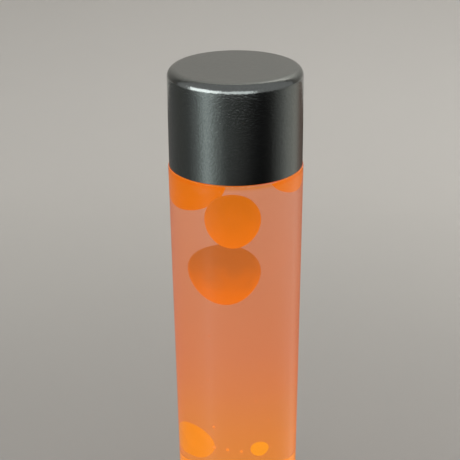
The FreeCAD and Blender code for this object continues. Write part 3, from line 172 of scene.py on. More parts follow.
# Corners (r, z, rounding) become an open polyline whose rounded corners are arcs tangent to both sides;
# its two ends, and corners with no rounding, stay sharp
def outlineOf(corners, arcSteps=10):
    points = np.array([corner[:2] for corner in corners], float)
    parts = []
    for i, corner in enumerate(corners):
        here = points[i]
        if len(corner) < 3 or i in (0, len(corners) - 1):
            parts.append(here[None])
            continue
        rounding = corner[2]
        before = points[i - 1] - here
        after = points[i + 1] - here
        before /= np.linalg.norm(before)
        after /= np.linalg.norm(after)
        halfAngle = math.acos(np.clip(before @ after, -1, 1)) / 2
        centreWay = (before + after) / np.linalg.norm(before + after)
        centre = here + centreWay * rounding / math.sin(halfAngle)
        reach = rounding / math.tan(halfAngle)
        start = here + before * reach - centre
        end = here + after * reach - centre
        turn = math.atan2(start[0] * end[1] - start[1] * end[0], start @ end)
        t = np.linspace(0, turn, arcSteps)
        parts.append(centre + np.stack([start[0] * np.cos(t) - start[1] * np.sin(t),
                                        start[0] * np.sin(t) + start[1] * np.cos(t)], 1))
    return np.concatenate(parts)


# A long straight run of a polyline is divided, so that no step is over the given length
def divided(points, longest):
    gaps = np.linalg.norm(np.diff(points, axis=0), axis=1)
    counts = np.maximum(1, np.ceil(gaps / longest).astype(int))
    runs = [a + (b - a) * np.arange(n)[:, None] / n for a, b, n in zip(points[:-1], points[1:], counts)]
    return np.concatenate(runs + [points[-1:]])


# A smooth-shaded mesh at the origin; edges over sharpAngle degrees stay sharp, and 0 leaves none sharp
def newPiece(name, points, faces, material, sharpAngle=0):
    mesh = bpy.data.meshes.new(name)
    mesh.from_pydata(points, [], faces)
    mesh.validate()
    mesh.polygons.foreach_set("use_smooth", np.full(len(mesh.polygons), True))
    if sharpAngle:
        mesh.set_sharp_from_angle(angle=math.radians(sharpAngle))
    mesh.update()
    mesh.materials.append(material)
    piece = bpy.data.objects.new(name, mesh)
    bpy.context.scene.collection.objects.link(piece)
    return piece


# Quads of a grid of rows by columns of points; the columns may close on themselves
def gridFaces(rows, columns, closed=True):
    row = np.arange(rows - 1)[:, None]
    column = np.arange(columns if closed else columns - 1)[None]
    nextColumn = (column + 1) % columns
    quads = np.stack([row * columns + column, row * columns + nextColumn,
                      (row + 1) * columns + nextColumn, (row + 1) * columns + column], -1)
    return quads.reshape(-1, 4).tolist()


# Triangles from a ring of points, numbered from first, to a tip below or above it
def fanFaces(first, around, tip, below):
    ring = first + np.arange(around)
    onward = first + (np.arange(around) + 1) % around
    tips = np.full(around, tip)
    return np.stack([tips, onward, ring] if below else [ring, onward, tips], 1).tolist()


# A turned surface: x = r(s) cos t, y = r(s) sin t, z = z(s), where s runs along the outline and t round the axis.
# The outline runs upwards on the outside. Ends on the axis become single points.
def turned(name, outline, material, around=256, sharpAngle=0):
    t = np.linspace(0, 2 * math.pi, around, endpoint=False)
    low = outline[0, 0] < 1e-7
    high = outline[-1, 0] < 1e-7
    rings = outline[int(low):len(outline) - int(high)]
    grid = np.stack([rings[:, :1] * np.cos(t), rings[:, :1] * np.sin(t),
                     np.repeat(rings[:, 1:], around, 1)], -1).reshape(-1, 3)
    faces = gridFaces(len(rings), around)
    ends = []
    if low:
        ends.append([0, 0, outline[0, 1]])
        faces += fanFaces(0, around, len(grid), below=True)
    if high:
        ends.append([0, 0, outline[-1, 1]])
        faces += fanFaces((len(rings) - 1) * around, around, len(grid) + len(ends) - 1, below=False)
    points = np.concatenate([grid, np.array(ends).reshape(-1, 3)])
    return newPiece(name, points, faces, material, sharpAngle)


# Faces of a closed lump: rings of points from the lowest up, then its bottom point and its top point
def lumpFaces(rings, around):
    count = rings * around
    return (gridFaces(rings, around) + fanFaces(0, around, count, below=True)
            + fanFaces(count - around, around, count + 1, below=False))


# A closed lump: centre + R(u, t) (sin u cos t, sin u sin t, -cos u), with u from the bottom pole to the top pole
def lumpParts(centre, reachOf, rings, around):
    u = np.linspace(0, math.pi, rings + 2)[1:-1, None]
    t = np.linspace(0, 2 * math.pi, around, endpoint=False)[None]
    ways = np.stack([np.sin(u) * np.cos(t), np.sin(u) * np.sin(t), -np.cos(u) * np.ones_like(t)], -1)
    ways = np.concatenate([ways.reshape(-1, 3), [[0, 0, -1.0], [0, 0, 1.0]]])
    return np.array(centre) + ways * reachOf(ways)[:, None], lumpFaces(rings, around)


# Several closed forms in one mesh, the later ones numbered after the earlier
def gathered(name, parts, material):
    points, faces, first = [], [], 0
    for formPoints, formFaces in parts:
        points.append(formPoints)
        faces += [[first + corner for corner in face] for face in formFaces]
        first += len(formPoints)
    return newPiece(name, np.concatenate(points), faces, material)


# Camera: the photograph's own place, pitch and roll

cameraSettings = {
    "place": (-0.004295, -0.829087, 0.662309),
    "pitchDown": 22.87,
    "roll": -0.48,
    "focalPixels": 1306,
    "imagePixels": 460,
}


# The camera looks along (0, cos pitch, -sin pitch), and its picture is turned by the roll
def makeCamera(settings):
    pitch = math.radians(settings["pitchDown"])
    roll = math.radians(settings["roll"])
    right = Vector((1, 0, 0))
    down = Vector((0, -math.sin(pitch), -math.cos(pitch)))
    forward = Vector((0, math.cos(pitch), -math.sin(pitch)))
    imageRight = right * math.cos(roll) - down * math.sin(roll)
    imageDown = right * math.sin(roll) + down * math.cos(roll)
    lens = bpy.data.cameras.new("photoCamera")
    lens.sensor_width = 36
    lens.lens = 36 * settings["focalPixels"] / settings["imagePixels"]
    camera = bpy.data.objects.new("photoCamera", lens)
    camera.matrix_world = Matrix.Translation(settings["place"]) @ Matrix(
        (imageRight, -imageDown, -forward)).transposed().to_4x4()
    bpy.context.scene.collection.objects.link(camera)
    bpy.context.scene.camera = camera


makeCamera(cameraSettings)
print("camera placed")


# Glass bottle

bottle = {
    "foot": 0.098,
    "footRounding": 0.006,
    "hollow": 0.029,            # radius of the hollow under the foot
    "hollowRise": 0.003,
    "floor": 0.006,             # thickness at the foot
    "floorRounding": 0.0045,
    "land": 0.362,              # step that carries the cap
    "landRounding": 0.0008,
    "crease": 0.0003,           # rounding of the sharpest corners
    "radius": 0.0456,           # just below the cap
    "taper": 0.0115,
    "wall": 0.003,
    "stepBelow": 0.008,         # the inside steps in from below the land to above it
    "stepAbove": 0.003,
    "stepRounding": 0.012,
    "collar": 0.0424,
    "shoulder": 0.393,
    "shoulderSlope": 0.0025,
    "shoulderRounding": 0.018,
    "neck": 0.0129,
    "neckRounding": 0.007,
    "bead": 0.0134,
    "beadHeight": 0.005,
    "beadRounding": 0.0009,
    "bore": 0.0085,
    "boreRounding": 0.005,
    "lip": 0.418,
    "lipRounding": 0.0005,
    "liquidLevel": 0.399,
    "wetting": 0.0001,          # how far the liquid reaches into the wall
    "film": 0.00003,            # what is left between wax and wall
    "meniscus": ((0.0, 0.0012), (0.0006, 0.0004), (0.0020, 0.0)),   # inwards from the bore, above the level
    "around": 320,
    "longestStep": 0.012,
    # painted glow at the step, standing in for light carried up the wall: the heights where it rises and falls, and
    # the radii where it starts; edgeGlow is a painted glow on the glass's edges
    "glint": {"low": (0.3578, 0.3606), "high": (0.3611, 0.3617), "outer": (0.0440, 0.0444),
              "tint": (0.95, 0.64, 0.20), "glow": (0.04, 0.020, 0.0), "edgeGlow": (0.30, 0.10, 0.04)},
}


# Outer radius of the body: R - taper (land - z)
def bottleRadius(z):
    return bottle["radius"] - bottle["taper"] * (bottle["land"] - z)


# Inner outline from the axis at the floor to the lip, a wall inside the outer one, moved outwards by a depth
def insideOutline(depth=0.0):
    b = bottle
    wall = b["wall"] - depth
    floor = b["foot"] + b["floor"] - depth
    under, over = b["land"] - b["stepBelow"], b["land"] + b["stepAbove"]
    top = b["shoulder"] - wall
    return outlineOf([
        (0, floor),
        (bottleRadius(floor) - wall, floor, b["floorRounding"]),
        (bottleRadius(under) - wall, under, b["stepRounding"]),
        (b["collar"] - wall, over, b["stepRounding"]),
        (b["collar"] - wall, top, b["shoulderRounding"] - b["wall"]),
        (b["bore"] + depth, top + b["shoulderSlope"], b["boreRounding"]),
        (b["bore"] + depth, b["lip"]),
    ], arcSteps=14)


insideLine = insideOutline()


# Heights and radii of the inside, in order of height
def insideRising():
    order = np.argsort(insideLine[1:, 1], kind="stable")
    return insideLine[1:, 1][order], insideLine[1:, 0][order]


# Distance from a point along each way to the inside of the bottle, found by halving an interval 40 times
def reachToGlass(centre, ways):
    heights, radii = insideRising()
    radii = radii - bottle["film"]
    near = np.zeros(len(ways))
    far = np.full(len(ways), 0.12)
    for _ in range(40):
        middle = (near + far) / 2
        at = np.array(centre) + ways * middle[:, None]
        inside = (np.hypot(at[:, 0], at[:, 1]) < np.interp(at[:, 2], heights, radii)) & (at[:, 2] > heights[0])
        near = np.where(inside, middle, near)
        far = np.where(inside, far, middle)
    return near


# Clear blown glass: colour is nearly white, roughness = 0.004 + 0.02 noise^6, and the bump is broad noise stretched
# round the bottle, for the faint waves of blown glass. The glow is painted light, standing in for light carried up
# in
# the wall: a painted glowing band at the step, paintedStepGlow = rise(z) (1 - fall(z)) outer(r), whose colour is
# also painted the orange of the wax behind it, and a painted edge glow, facing^6, at the edges.
# Where the liquid wets it, glass hardly mirrors, so the inside has its own material with a dark mirror tint.
def clearGlass(name, mirror):
    glint = bottle["glint"]
    finish = Finish(name, transmission=1.0, ior=1.5, glowStrength=1.0, mirrorTint=(mirror,) * 3)
    clear = finish.mix(finish.noise(0.04, 1.0), (0.965, 0.982, 0.972), (0.978, 0.988, 0.982))
    finish.set("roughness", 0.004 + 0.02 * finish.noise(0.012) ** 6.0)
    finish.bump(finish.noise(0.05, 1.0, (1, 1, 0.35)), 0.0006, 0.35)
    x, y, height = (finish.along(axis) for axis in "XYZ")
    outer = finish.step((x * x + y * y) ** 0.5, *glint["outer"])
    # painted glow at the step: a band glowing and coloured orange as if light carried up the wall came out there
    paintedStepGlow = finish.step(height, *glint["low"]) * (1 - finish.step(height, *glint["high"])) * outer
    finish.set("colour", finish.mix(paintedStepGlow, clear, glint["tint"]))
    # painted edge glow: a glow laid on the edges of the glass
    facing = finish.node("ShaderNodeLayerWeight", output="Facing")
    edges = finish.mix(facing ** 6.0, (0.0, 0.0, 0.0), glint["edgeGlow"])
    finish.set("glow", finish.mix(paintedStepGlow, edges, glint["glow"]))
    return finish.material


# The bottle: a shallow hollow z = foot + rise (1 - (r/R)^2) under the foot, then the outside up to the lip and the
# inside down again, turned. Faces nearer the axis than the middle of the wall are the wetted inside.
def makeBottle():
    b = bottle
    foot = b["foot"]
    low = np.linspace(0, b["hollow"], 24)
    hollow = np.stack([low, foot + b["hollowRise"] * (1 - (low / b["hollow"]) ** 2)], 1)
    outside = outlineOf([
        (b["hollow"], foot),
        (bottleRadius(foot), foot, b["footRounding"]),
        (b["radius"], b["land"], b["landRounding"]),
        (b["collar"], b["land"], b["crease"]),
        (b["collar"], b["shoulder"], b["shoulderRounding"]),
        (b["neck"], b["shoulder"] + b["shoulderSlope"], b["neckRounding"]),
        (b["neck"], b["lip"] - b["beadHeight"], b["crease"]),
        (b["bead"], b["lip"] - b["beadHeight"], b["crease"]),
        (b["bead"], b["lip"], b["beadRounding"]),
        (b["bore"], b["lip"], b["lipRounding"]),
    ])
    outline = divided(np.concatenate([hollow, outside[1:], insideLine[::-1]]), b["longestStep"])
    piece = turned("glassBottle", outline, clearGlass("bottleGlass", 0.4), b["around"], sharpAngle=50)
    piece.data.materials.append(clearGlass("wettedGlass", 0.04))
    middles = np.zeros(len(piece.data.polygons) * 3)
    piece.data.polygons.foreach_get("center", middles)
    x, y, z = middles.reshape(-1, 3).T
    heights, radii = insideRising()
    halfWay = np.interp(z, heights, radii + b["wall"] / 2)
    wetted = (np.hypot(x, y) < halfWay) & (z > foot + 0.75 * b["floor"])
    piece.data.polygons.foreach_set("material_index", wetted.astype(np.int32))
    piece.visible_shadow = False
    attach(piece, "bottle")
    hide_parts("glass_bottle")


# shades: the liquid's tint, painted more amber towards the bottom where the bulb lights it; glows: painted glow of
# the bulb's light, strongest at the bottom; sideGlow: painted light on the right side
liquid = {
    "heights": (0.10, 0.369),           # colour and glow go from the first shade to the last between these
    "shades": [(0.0, (0.86, 0.38, 0.10)), (0.35, (0.86, 0.41, 0.24)), (1.0, (0.85, 0.45, 0.30))],
    "glows": [(0.0, (0.265, 0.084, 0.012)), (0.35, (0.195, 0.044, 0.010)), (1.0, (0.112, 0.018, 0.003))],
    "sideX": (0.005, 0.040),
    "sideGlow": (0.045, 0.025, 0.020),
}


# Tinted liquid: its colour goes from rose at the top to amber at the bottom, a real tint with painted light in it,
# more amber where the bulb lights it from below; a soft painted glow that grows downwards, with side(x) height^2
# more on the right, stands for the light that its haze scatters
def tintedLiquid():
    finish = Finish("tintedLiquid", transmission=1.0, ior=1.38, roughness=0.06, mirrorTint=(0.05, 0.05, 0.05),
                    glowStrength=1.0)
    height = finish.step(finish.along("Z"), *liquid["heights"])
    # the liquid's tint with painted light: more amber low down where the bulb lights it
    finish.set("colour", finish.ramp(height, liquid["shades"]))
    # painted glow: the bulb's light in the haze, strongest low down, and more painted light on the right towards the
    # top
    side = finish.step(finish.along("X"), *liquid["sideX"])
    finish.set("glow", finish.mix(side * height * height, finish.ramp(height, liquid["glows"]),
                                  liquid["sideGlow"], "ADD"))
    return finish.material


# The liquid: the bottle's inside up to the level, where it climbs the bore a little, turned
def makeLiquid():
    outline = insideOutline(bottle["wetting"])
    level = bottle["liquidLevel"]
    bore = bottle["bore"] + bottle["wetting"]
    surface = [(bore - inwards, level + above) for inwards, above in bottle["meniscus"]] + [(0, level)]
    outline = divided(np.concatenate([outline[outline[:, 1] < level], surface]), 0.006)
    piece = turned("tintedLiquid", outline, tintedLiquid(), around=256, sharpAngle=50)
    piece.visible_shadow = False
    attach(piece, "bottle")
    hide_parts("liquid_fill")


makeBottle()
makeLiquid()
print("bottle and liquid made")


# Wax

# For each wax: the heights between which its painted light fades, so that it darkens upwards away from the bulb,
# then shades and painted glows, brightest first
waxPaintedGlow = {
    "waxUpper": {"heights": (0.341, 0.377), "shades": ((0.06, 0.016, 0.001), (0.06, 0.016, 0.001)),
                 "glows": ((0.72, 0.225, 0.001), (0.62, 0.205, 0.001))},
    "waxRound": {"heights": (0.313, 0.350), "shades": ((0.06, 0.015, 0.001), (0.06, 0.015, 0.001)),
                 "glows": ((0.78, 0.240, 0.010), (0.58, 0.200, 0.010))},
    "waxOvoid": {"heights": (0.261, 0.301), "shades": ((0.06, 0.016, 0.001), (0.06, 0.014, 0.003)),
                 "glows": ((0.76, 0.218, 0.012), (0.40, 0.160, 0.036))},
    "waxLow": {"heights": (0.100, 0.179), "shades": ((0.07, 0.025, 0.002), (0.07, 0.025, 0.001)),
               "glows": ((0.80, 0.345, 0.016), (0.72, 0.320, 0.010))},
    "waxSmall": {"heights": (0.135, 0.160), "shades": ((0.07, 0.030, 0.002), (0.07, 0.030, 0.002)),
                 "glows": ((0.80, 0.430, 0.036), (0.76, 0.400, 0.030))},
    "waxDrops": {"heights": (0.150, 0.340), "shades": ((0.07, 0.030, 0.010), (0.07, 0.030, 0.010)),
                 "glows": ((0.80, 0.330, 0.080), (0.74, 0.280, 0.070))},
}


# Glowing wax, its glow painted light: h = height + 0.35 (clouds - 0.5) of its span, colour and glow = bright to dark
# as h rises, a painted glow and painted shade for the bulb's light from below, roughness = 0.60 + 0.12 clouds, and
# finer noise makes the skin slightly uneven
def glowingWax(name):
    (bright, dark), (brightGlow, darkGlow) = waxPaintedGlow[name]["shades"], waxPaintedGlow[name]["glows"]
    low, high = waxPaintedGlow[name]["heights"]
    finish = Finish(name, subsurface=0.25, subsurfaceReach=(1.0, 0.45, 0.12), subsurfaceScale=0.006,
                    ior=1.43, specular=0.03, glowStrength=1.0)
    clouds = finish.noise(0.011, 2.0)
    height = finish.step(finish.along("Z") + (clouds - 0.5) * (0.35 * (high - low)), low, high)
    # painted glow and painted shade: bright low down where the bulb lights the wax, darker higher up
    finish.set("colour", finish.mix(height, bright, dark))
    finish.set("glow", finish.mix(height, brightGlow, darkGlow))
    finish.set("roughness", 0.60 + 0.12 * clouds)
    finish.bump(finish.noise(0.006, 3.0), 0.0006, 0.3)
    return finish.material


blobs = {
    "waxRound": {"centre": (-0.0022, -0.0230, 0.3313), "half": (0.0163, 0.0189), "fullTop": 0.03, "lean": 0.02},
    "waxOvoid": {"centre": (-0.0051, 0.0110, 0.2815), "half": (0.0158, 0.0225), "fullTop": 0.08, "lean": 0.03},
    "waxSmall": {"centre": (0.0114, -0.0050, 0.1473), "half": (0.0048, 0.0056), "fullTop": 0.05, "lean": 0.05},
}


# A drifting blob: r = w sin(u) (1 - k cos u) (1 - lean (1 + cos(2t + 2u - 1)) / 2) and z = -h cos u,
# so k > 0 makes its upper half full and its lower half narrow
def makeBlob(name, node, body, material, rings=96, around=160):
    form = blobs[name]
    halfWidth, halfHeight = form["half"]
    u = np.linspace(0, math.pi, rings + 2)[1:-1, None]
    t = np.linspace(0, 2 * math.pi, around, endpoint=False)[None]
    radius = np.sin(u) * (1 - form["fullTop"] * np.cos(u))
    radius = halfWidth * radius / np.max(radius) * (1 - form["lean"] * (0.5 + 0.5 * np.cos(2 * t - 1 + 2 * u)))
    z = -halfHeight * np.cos(u) * np.ones_like(t)
    grid = np.stack([radius * np.cos(t), radius * np.sin(t), z], -1).reshape(-1, 3)
    points = np.concatenate([grid, [[0, 0, -halfHeight], [0, 0, halfHeight]]]) + np.array(form["centre"])
    piece = newPiece(name, points, lumpFaces(rings, around), material)
    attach(piece, body)
    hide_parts(node)


clinging = {
    "waxUpperLeft": {"centre": (-0.0255, -0.0025, 0.3535), "radius": 0.0205, "waves": (0.03, 0.4)},
    "waxUpperRight": {"centre": (0.0327, -0.0127, 0.362), "radius": 0.015, "waves": (0.03, 1.7)},
    "waxWallLobe": {"centre": (-0.0275, -0.0110, 0.155), "radius": 0.013, "waves": (0.12, 2.6)},
}


# Clinging wax: from its middle each way reaches the lump's own surface or the glass, whichever is nearer;
# the lump is R (1 + a sin(2t + p) sin u + a/2 cos(3u + p))
def makeClinging(name, node, material):
    form = clinging[name]
    amount, phase = form["waves"]

    def reachOf(ways):
        t = np.arctan2(ways[:, 1], ways[:, 0])
        u = np.arccos(np.clip(-ways[:, 2], -1, 1))
        lump = form["radius"] * (1 + amount * np.sin(2 * t + phase) * np.sin(u) + amount / 2 * np.cos(3 * u + phase))
        return np.minimum(lump, reachToGlass(form["centre"], ways))

    points, faces = lumpParts(form["centre"], reachOf, rings=140, around=280)
    piece = newPiece(name, points, faces, material)
    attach(piece, "bottle")
    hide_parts(node)


pool = {
    "middle": 0.118,
    "side": 0.113,
    "climb": 0.0025,
    "climbWidth": 0.0016,
    "waves": 0.0012,
    "wavesFrom": 0.108,         # below this height the pool follows the glass
    "wavesOver": 0.01,
}


# The pool: inside outline up to its side, then a dome, z = side + (middle - side) (1 - (r/R)^2)
# + climb e^(-(R - r) / width), since wax climbs the glass it wets. Slow waves,
# a (sin(2t + 90 r) + 0.6 cos(3t - 140 r)), lift the dome and fade out towards the glass as 1 - (r/R)^4.
def makePool(material):
    outline = insideOutline(-bottle["film"])
    outline = outline[outline[:, 1] < pool["side"] - 0.002]
    edge = bottleRadius(pool["side"]) - bottle["wall"] - bottle["film"]
    r = edge * (1 - np.linspace(0, 1, 70) ** 1.5)
    dome = pool["side"] + (pool["middle"] - pool["side"]) * (1 - (r / edge) ** 2)
    dome += pool["climb"] * np.exp(-(edge - r) / pool["climbWidth"])
    outline = divided(np.concatenate([outline, np.stack([r, dome], 1)]), 0.003)
    piece = turned("waxPool", outline, material, around=192)
    places = np.zeros(len(piece.data.vertices) * 3)
    piece.data.vertices.foreach_get("co", places)
    places = places.reshape(-1, 3)
    r = np.hypot(places[:, 0], places[:, 1])
    t = np.arctan2(places[:, 1], places[:, 0])
    share = np.clip((places[:, 2] - pool["wavesFrom"]) / pool["wavesOver"], 0, 1) * (1 - (r / edge) ** 4).clip(0, 1)
    places[:, 2] += share * pool["waves"] * (np.sin(2 * t + 90 * r) + 0.6 * np.cos(3 * t - 140 * r))
    piece.data.vertices.foreach_set("co", places.ravel())
    piece.data.update()
    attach(piece, "bottle")
    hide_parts("wax_pool")


# Centre and radius of each: three in a row and one above them, then specks
droplets = [
    (-0.0150, -0.0275, 0.1580, 0.00120), (-0.0064, -0.0275, 0.1566, 0.00108),
    (0.0022, -0.0275, 0.1552, 0.00092), (-0.0150, -0.0275, 0.1750, 0.00090),
    (-0.0050, -0.0400, 0.3380, 0.00035), (-0.0120, -0.0380, 0.3020, 0.00035),
    (0.0130, -0.0375, 0.2940, 0.00030), (-0.0180, -0.0330, 0.2490, 0.00045),
    (-0.0195, -0.0315, 0.2140, 0.00040), (0.0120, -0.0350, 0.1990, 0.00035),
    (0.0200, -0.0290, 0.1810, 0.00040), (0.0150, -0.0350, 0.2270, 0.00030),
]


# Droplets and specks: lumps whose reach is the same all round, in one mesh
def makeDroplets(material):
    balls = [lumpParts((x, y, z), lambda ways, radius=radius: np.full(len(ways), radius), rings=10, around=18)
             for x, y, z, radius in droplets]
    piece = gathered("waxDroplets", balls, material)
    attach(piece, "bottle")
    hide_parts("wax_droplets")


upperWax, lowWax = glowingWax("waxUpper"), glowingWax("waxLow")
makeBlob("waxRound", "wax_round", "round_blob", glowingWax("waxRound"))
makeBlob("waxOvoid", "wax_ovoid", "ovoid_blob", glowingWax("waxOvoid"))
makeBlob("waxSmall", "wax_small", "small_blob", glowingWax("waxSmall"))
makeClinging("waxUpperLeft", "wax_upper_left", upperWax)
makeClinging("waxUpperRight", "wax_upper_right", upperWax)
makeClinging("waxWallLobe", "wax_wall_lobe", lowWax)
makePool(lowWax)
makeDroplets(glowingWax("waxDrops"))
print("wax made")


# Cap and base

# Flaked lacquer on metal: each cell is a flake. Colour = dark to light by flake, roughness = 0.15 + 0.03 clouds
# + 0.02 flakes, and the bump = 0.1 flakes + 4 grain, so that the lacquer glitters only where it mirrors a light
def flakedMetal(name, flake=0.0007, grain=0.0014):
    finish = Finish(name, metallic=1.0, coat=0.10, coatRoughness=0.16)
    flakes = finish.cells(flake)
    clouds = finish.noise(0.03, 2.0)
    finish.set("colour", finish.mix(flakes, (0.212, 0.226, 0.219), (0.250, 0.265, 0.257)))
    finish.set("roughness", 0.15 + 0.03 * clouds + 0.02 * flakes)
    finish.bump(0.1 * flakes + 4.0 * finish.noise(grain, 1.0), 0.00005, 0.55)
    return finish.material


cap = {
    "radius": 0.045,
    "wall": 0.0012,
    "rim": 0.362,
    "rimRoundings": (0.0003, 0.0004),
    "top": 0.429,
    "edge": 0.0060,             # rounding of the upper edge
    "around": 320,
}


# The cap: from the middle of the roof's inside out and down to the rim, then up the outside to the top, turned
def makeCap(material):
    inner, roof = cap["radius"] - cap["wall"], cap["top"] - cap["wall"]
    outline = outlineOf([
        (0, roof),
        (inner, roof, cap["edge"] - cap["wall"]),
        (inner, cap["rim"], cap["rimRoundings"][0]),
        (cap["radius"], cap["rim"], cap["rimRoundings"][1]),
        (cap["radius"], cap["top"], cap["edge"]),
        (0, cap["top"]),
    ], arcSteps=16)
    piece = turned("capShell", divided(outline, 0.006), material, cap["around"], sharpAngle=40)
    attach(piece, "cap")
    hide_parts("cap_shell")


makeCap(flakedMetal("capPaint"))
print("cap made")


# Moulded, rubber and plated finishes: colour = shade (1 - spread) to shade (1 + spread) by clouds,
# roughness = rough + 0.18 clouds, and the bump is a fine grain of the given size
def quietFinish(name, shade, roughness, grain, depth, spread=0.25, cloud=0.004, **constants):
    finish = Finish(name, **constants)
    clouds = finish.noise(cloud, 3.0)
    dark = tuple(c * (1 - spread) for c in shade)
    light = tuple(min(1.0, c * (1 + spread)) for c in shade)
    finish.set("colour", finish.mix(clouds, dark, light))
    finish.set("roughness", roughness + 0.18 * clouds)
    finish.bump(finish.noise(grain, 2.0), depth, 0.5)
    return finish.material


# Reflector bulb: silvered up to its widest, frosted and warmly lit above, with a soft line between:
# metallic = 1 - face(z), roughness = 0.16 + 0.10 clouds + 0.30 face
def reflectorGlass():
    finish = Finish("bulbGlass", coat=0.6, coatRoughness=0.05, glowStrength=1.0)
    face = finish.step(finish.along("Z"), 0.0640, 0.0655)
    clouds = finish.noise(0.008, 2.0)
    finish.set("colour", finish.mix(face, (0.78, 0.77, 0.74), (0.92, 0.88, 0.80)))
    finish.set("metallic", 1 - face)
    finish.set("roughness", 0.16 + 0.10 * clouds + face * 0.30)
    finish.set("glow", finish.mix(face, (0.0, 0.0, 0.0), (0.95, 0.66, 0.36)))
    finish.bump(finish.noise(0.0012, 2.0), 0.00004, 0.3)
    return finish.material


# Gives carried nodes one material in all their slots
def clothe(material, *names):
    for name in names:
        for place in nodes[name].material_slots:
            place.material = material


clothe(flakedMetal("basePaint"), "base_shell")
clothe(quietFinish("mouldedBlack", (0.022, 0.022, 0.023), 0.48, 0.0006, 0.00006), "base_plate", "cord_gland")
clothe(quietFinish("holderBlack", (0.028, 0.027, 0.026), 0.36, 0.0009, 0.00004), "lampholder_body")
clothe(quietFinish("terminalWhite", (0.62, 0.59, 0.50), 0.42, 0.0008, 0.00004, spread=0.08, subsurface=0.2,
                   subsurfaceScale=0.002), "terminal_block")
clothe(quietFinish("footRubber", (0.018, 0.018, 0.018), 0.68, 0.0004, 0.00006), "foot_ring")
clothe(quietFinish("siliconeGrey", (0.34, 0.34, 0.33), 0.46, 0.0011, 0.00005, spread=0.1, subsurface=0.35,
                   subsurfaceScale=0.002), "seat_pads", "cap_liner", "crown_seal")
clothe(quietFinish("ledgeBlack", (0.016, 0.016, 0.017), 0.52, 0.0007, 0.00008), "bottle_ledge")
clothe(quietFinish("zincPlate", (0.56, 0.57, 0.58), 0.24, 0.0010, 0.00003, metallic=1.0, spread=0.16, cloud=0.0016),
       "gland_nut", "plate_screws", "bracket_screws", "holder_screws", "lampholder_bracket")
clothe(quietFinish("shellBrass", (0.66, 0.47, 0.20), 0.22, 0.0012, 0.00003, metallic=1.0, spread=0.14),
       "lampholder_thread_shell", "lampholder_contact")
clothe(quietFinish("leadBrown", (0.10, 0.035, 0.014), 0.40, 0.0010, 0.00003), "lead_live")
clothe(quietFinish("leadBlue", (0.012, 0.06, 0.26), 0.40, 0.0010, 0.00003), "lead_neutral")
clothe(quietFinish("solderTip", (0.50, 0.50, 0.49), 0.34, 0.0007, 0.00006, metallic=1.0), "bulb_contact")
clothe(quietFinish("fusedBlackGlass", (0.010, 0.010, 0.011), 0.10, 0.0020, 0.00003, coat=0.5, coatRoughness=0.05),
       "bulb_insulator")
clothe(quietFinish("nickelPlate", (0.66, 0.64, 0.60), 0.20, 0.0009, 0.00003, metallic=1.0, spread=0.10),
       "bulb_screw_cap")
clothe(reflectorGlass(), "bulb_envelope")
clothe(quietFinish("stemGlass", (0.80, 0.83, 0.82), 0.06, 0.0030, 0.00003, spread=0.06, transmission=0.8, ior=1.5),
       "bulb_stem")
clothe(quietFinish("drawnTungsten", (0.24, 0.23, 0.22), 0.36, 0.0004, 0.00002, metallic=1.0), "bulb_filament")
clothe(quietFinish("drawnSteel", (0.58, 0.57, 0.54), 0.24, 0.0005, 0.00002, metallic=1.0, spread=0.12), "wire_coil")
clothe(quietFinish("lacqueredTin", (0.66, 0.55, 0.33), 0.26, 0.0010, 0.00003, metallic=1.0, spread=0.12),
       "crown_closure")
print("finishes on the carried nodes")


# Studio: a pale floor that curves up into a backdrop, and soft lamps

sweep = {
    "halfWidth": 3.2,
    "front": -3.0,
    "back": 1.15,
    "bend": 0.35,
    "height": 3.0,
    # near and far: the paper's colour with painted shade, darker round the lamp and paler away from it
    "near": (0.302, 0.292, 0.273),      # paper under the lamp
    "far": (0.510, 0.493, 0.460),
    "shadeReach": (0.05, 1.25),
}


# The sweep: y and z follow a straight floor, a quarter circle and a straight wall, and x runs straight across.
# Colour = near to far by the distance from the lamp + 0.06 (clouds - 0.5), a painted shade that darkens the paper
# round the lamp, roughness = 0.85 + 0.1 clouds.
# Its back is clear, so that the lamp can be looked at from behind.
def makeSweep(across=9):
    t = np.linspace(0, math.pi / 2, 24)
    bend = np.stack([sweep["back"] - sweep["bend"] * (1 - np.sin(t)), sweep["bend"] * (1 - np.cos(t))], 1)
    path = np.concatenate([[[sweep["front"], 0.0]], bend, [[sweep["back"], sweep["height"]]]])
    x = np.linspace(-sweep["halfWidth"], sweep["halfWidth"], across)
    points = np.stack([np.tile(x, len(path)), np.repeat(path[:, 0], across), np.repeat(path[:, 1], across)], 1)
    finish = Finish("sweepPaper", specular=0.2)
    clouds = finish.noise(0.25, 2.0)
    x, y = finish.along("X"), finish.along("Y")
    # painted shade: 0 round the lamp, where the paper is painted darkest, to 1 far away
    paintedShadeFade = finish.step((x * x + y * y) ** 0.5, *sweep["shadeReach"])
    finish.set("colour", finish.mix(paintedShadeFade + 0.06 * (clouds - 0.5), sweep["near"], sweep["far"]))
    finish.set("roughness", 0.85 + 0.1 * clouds)
    finish.set("alpha", 1 - finish.node("ShaderNodeNewGeometry", output="Backfacing"))
    newPiece("sweep", points, gridFaces(len(path), across, closed=False), finish.material)


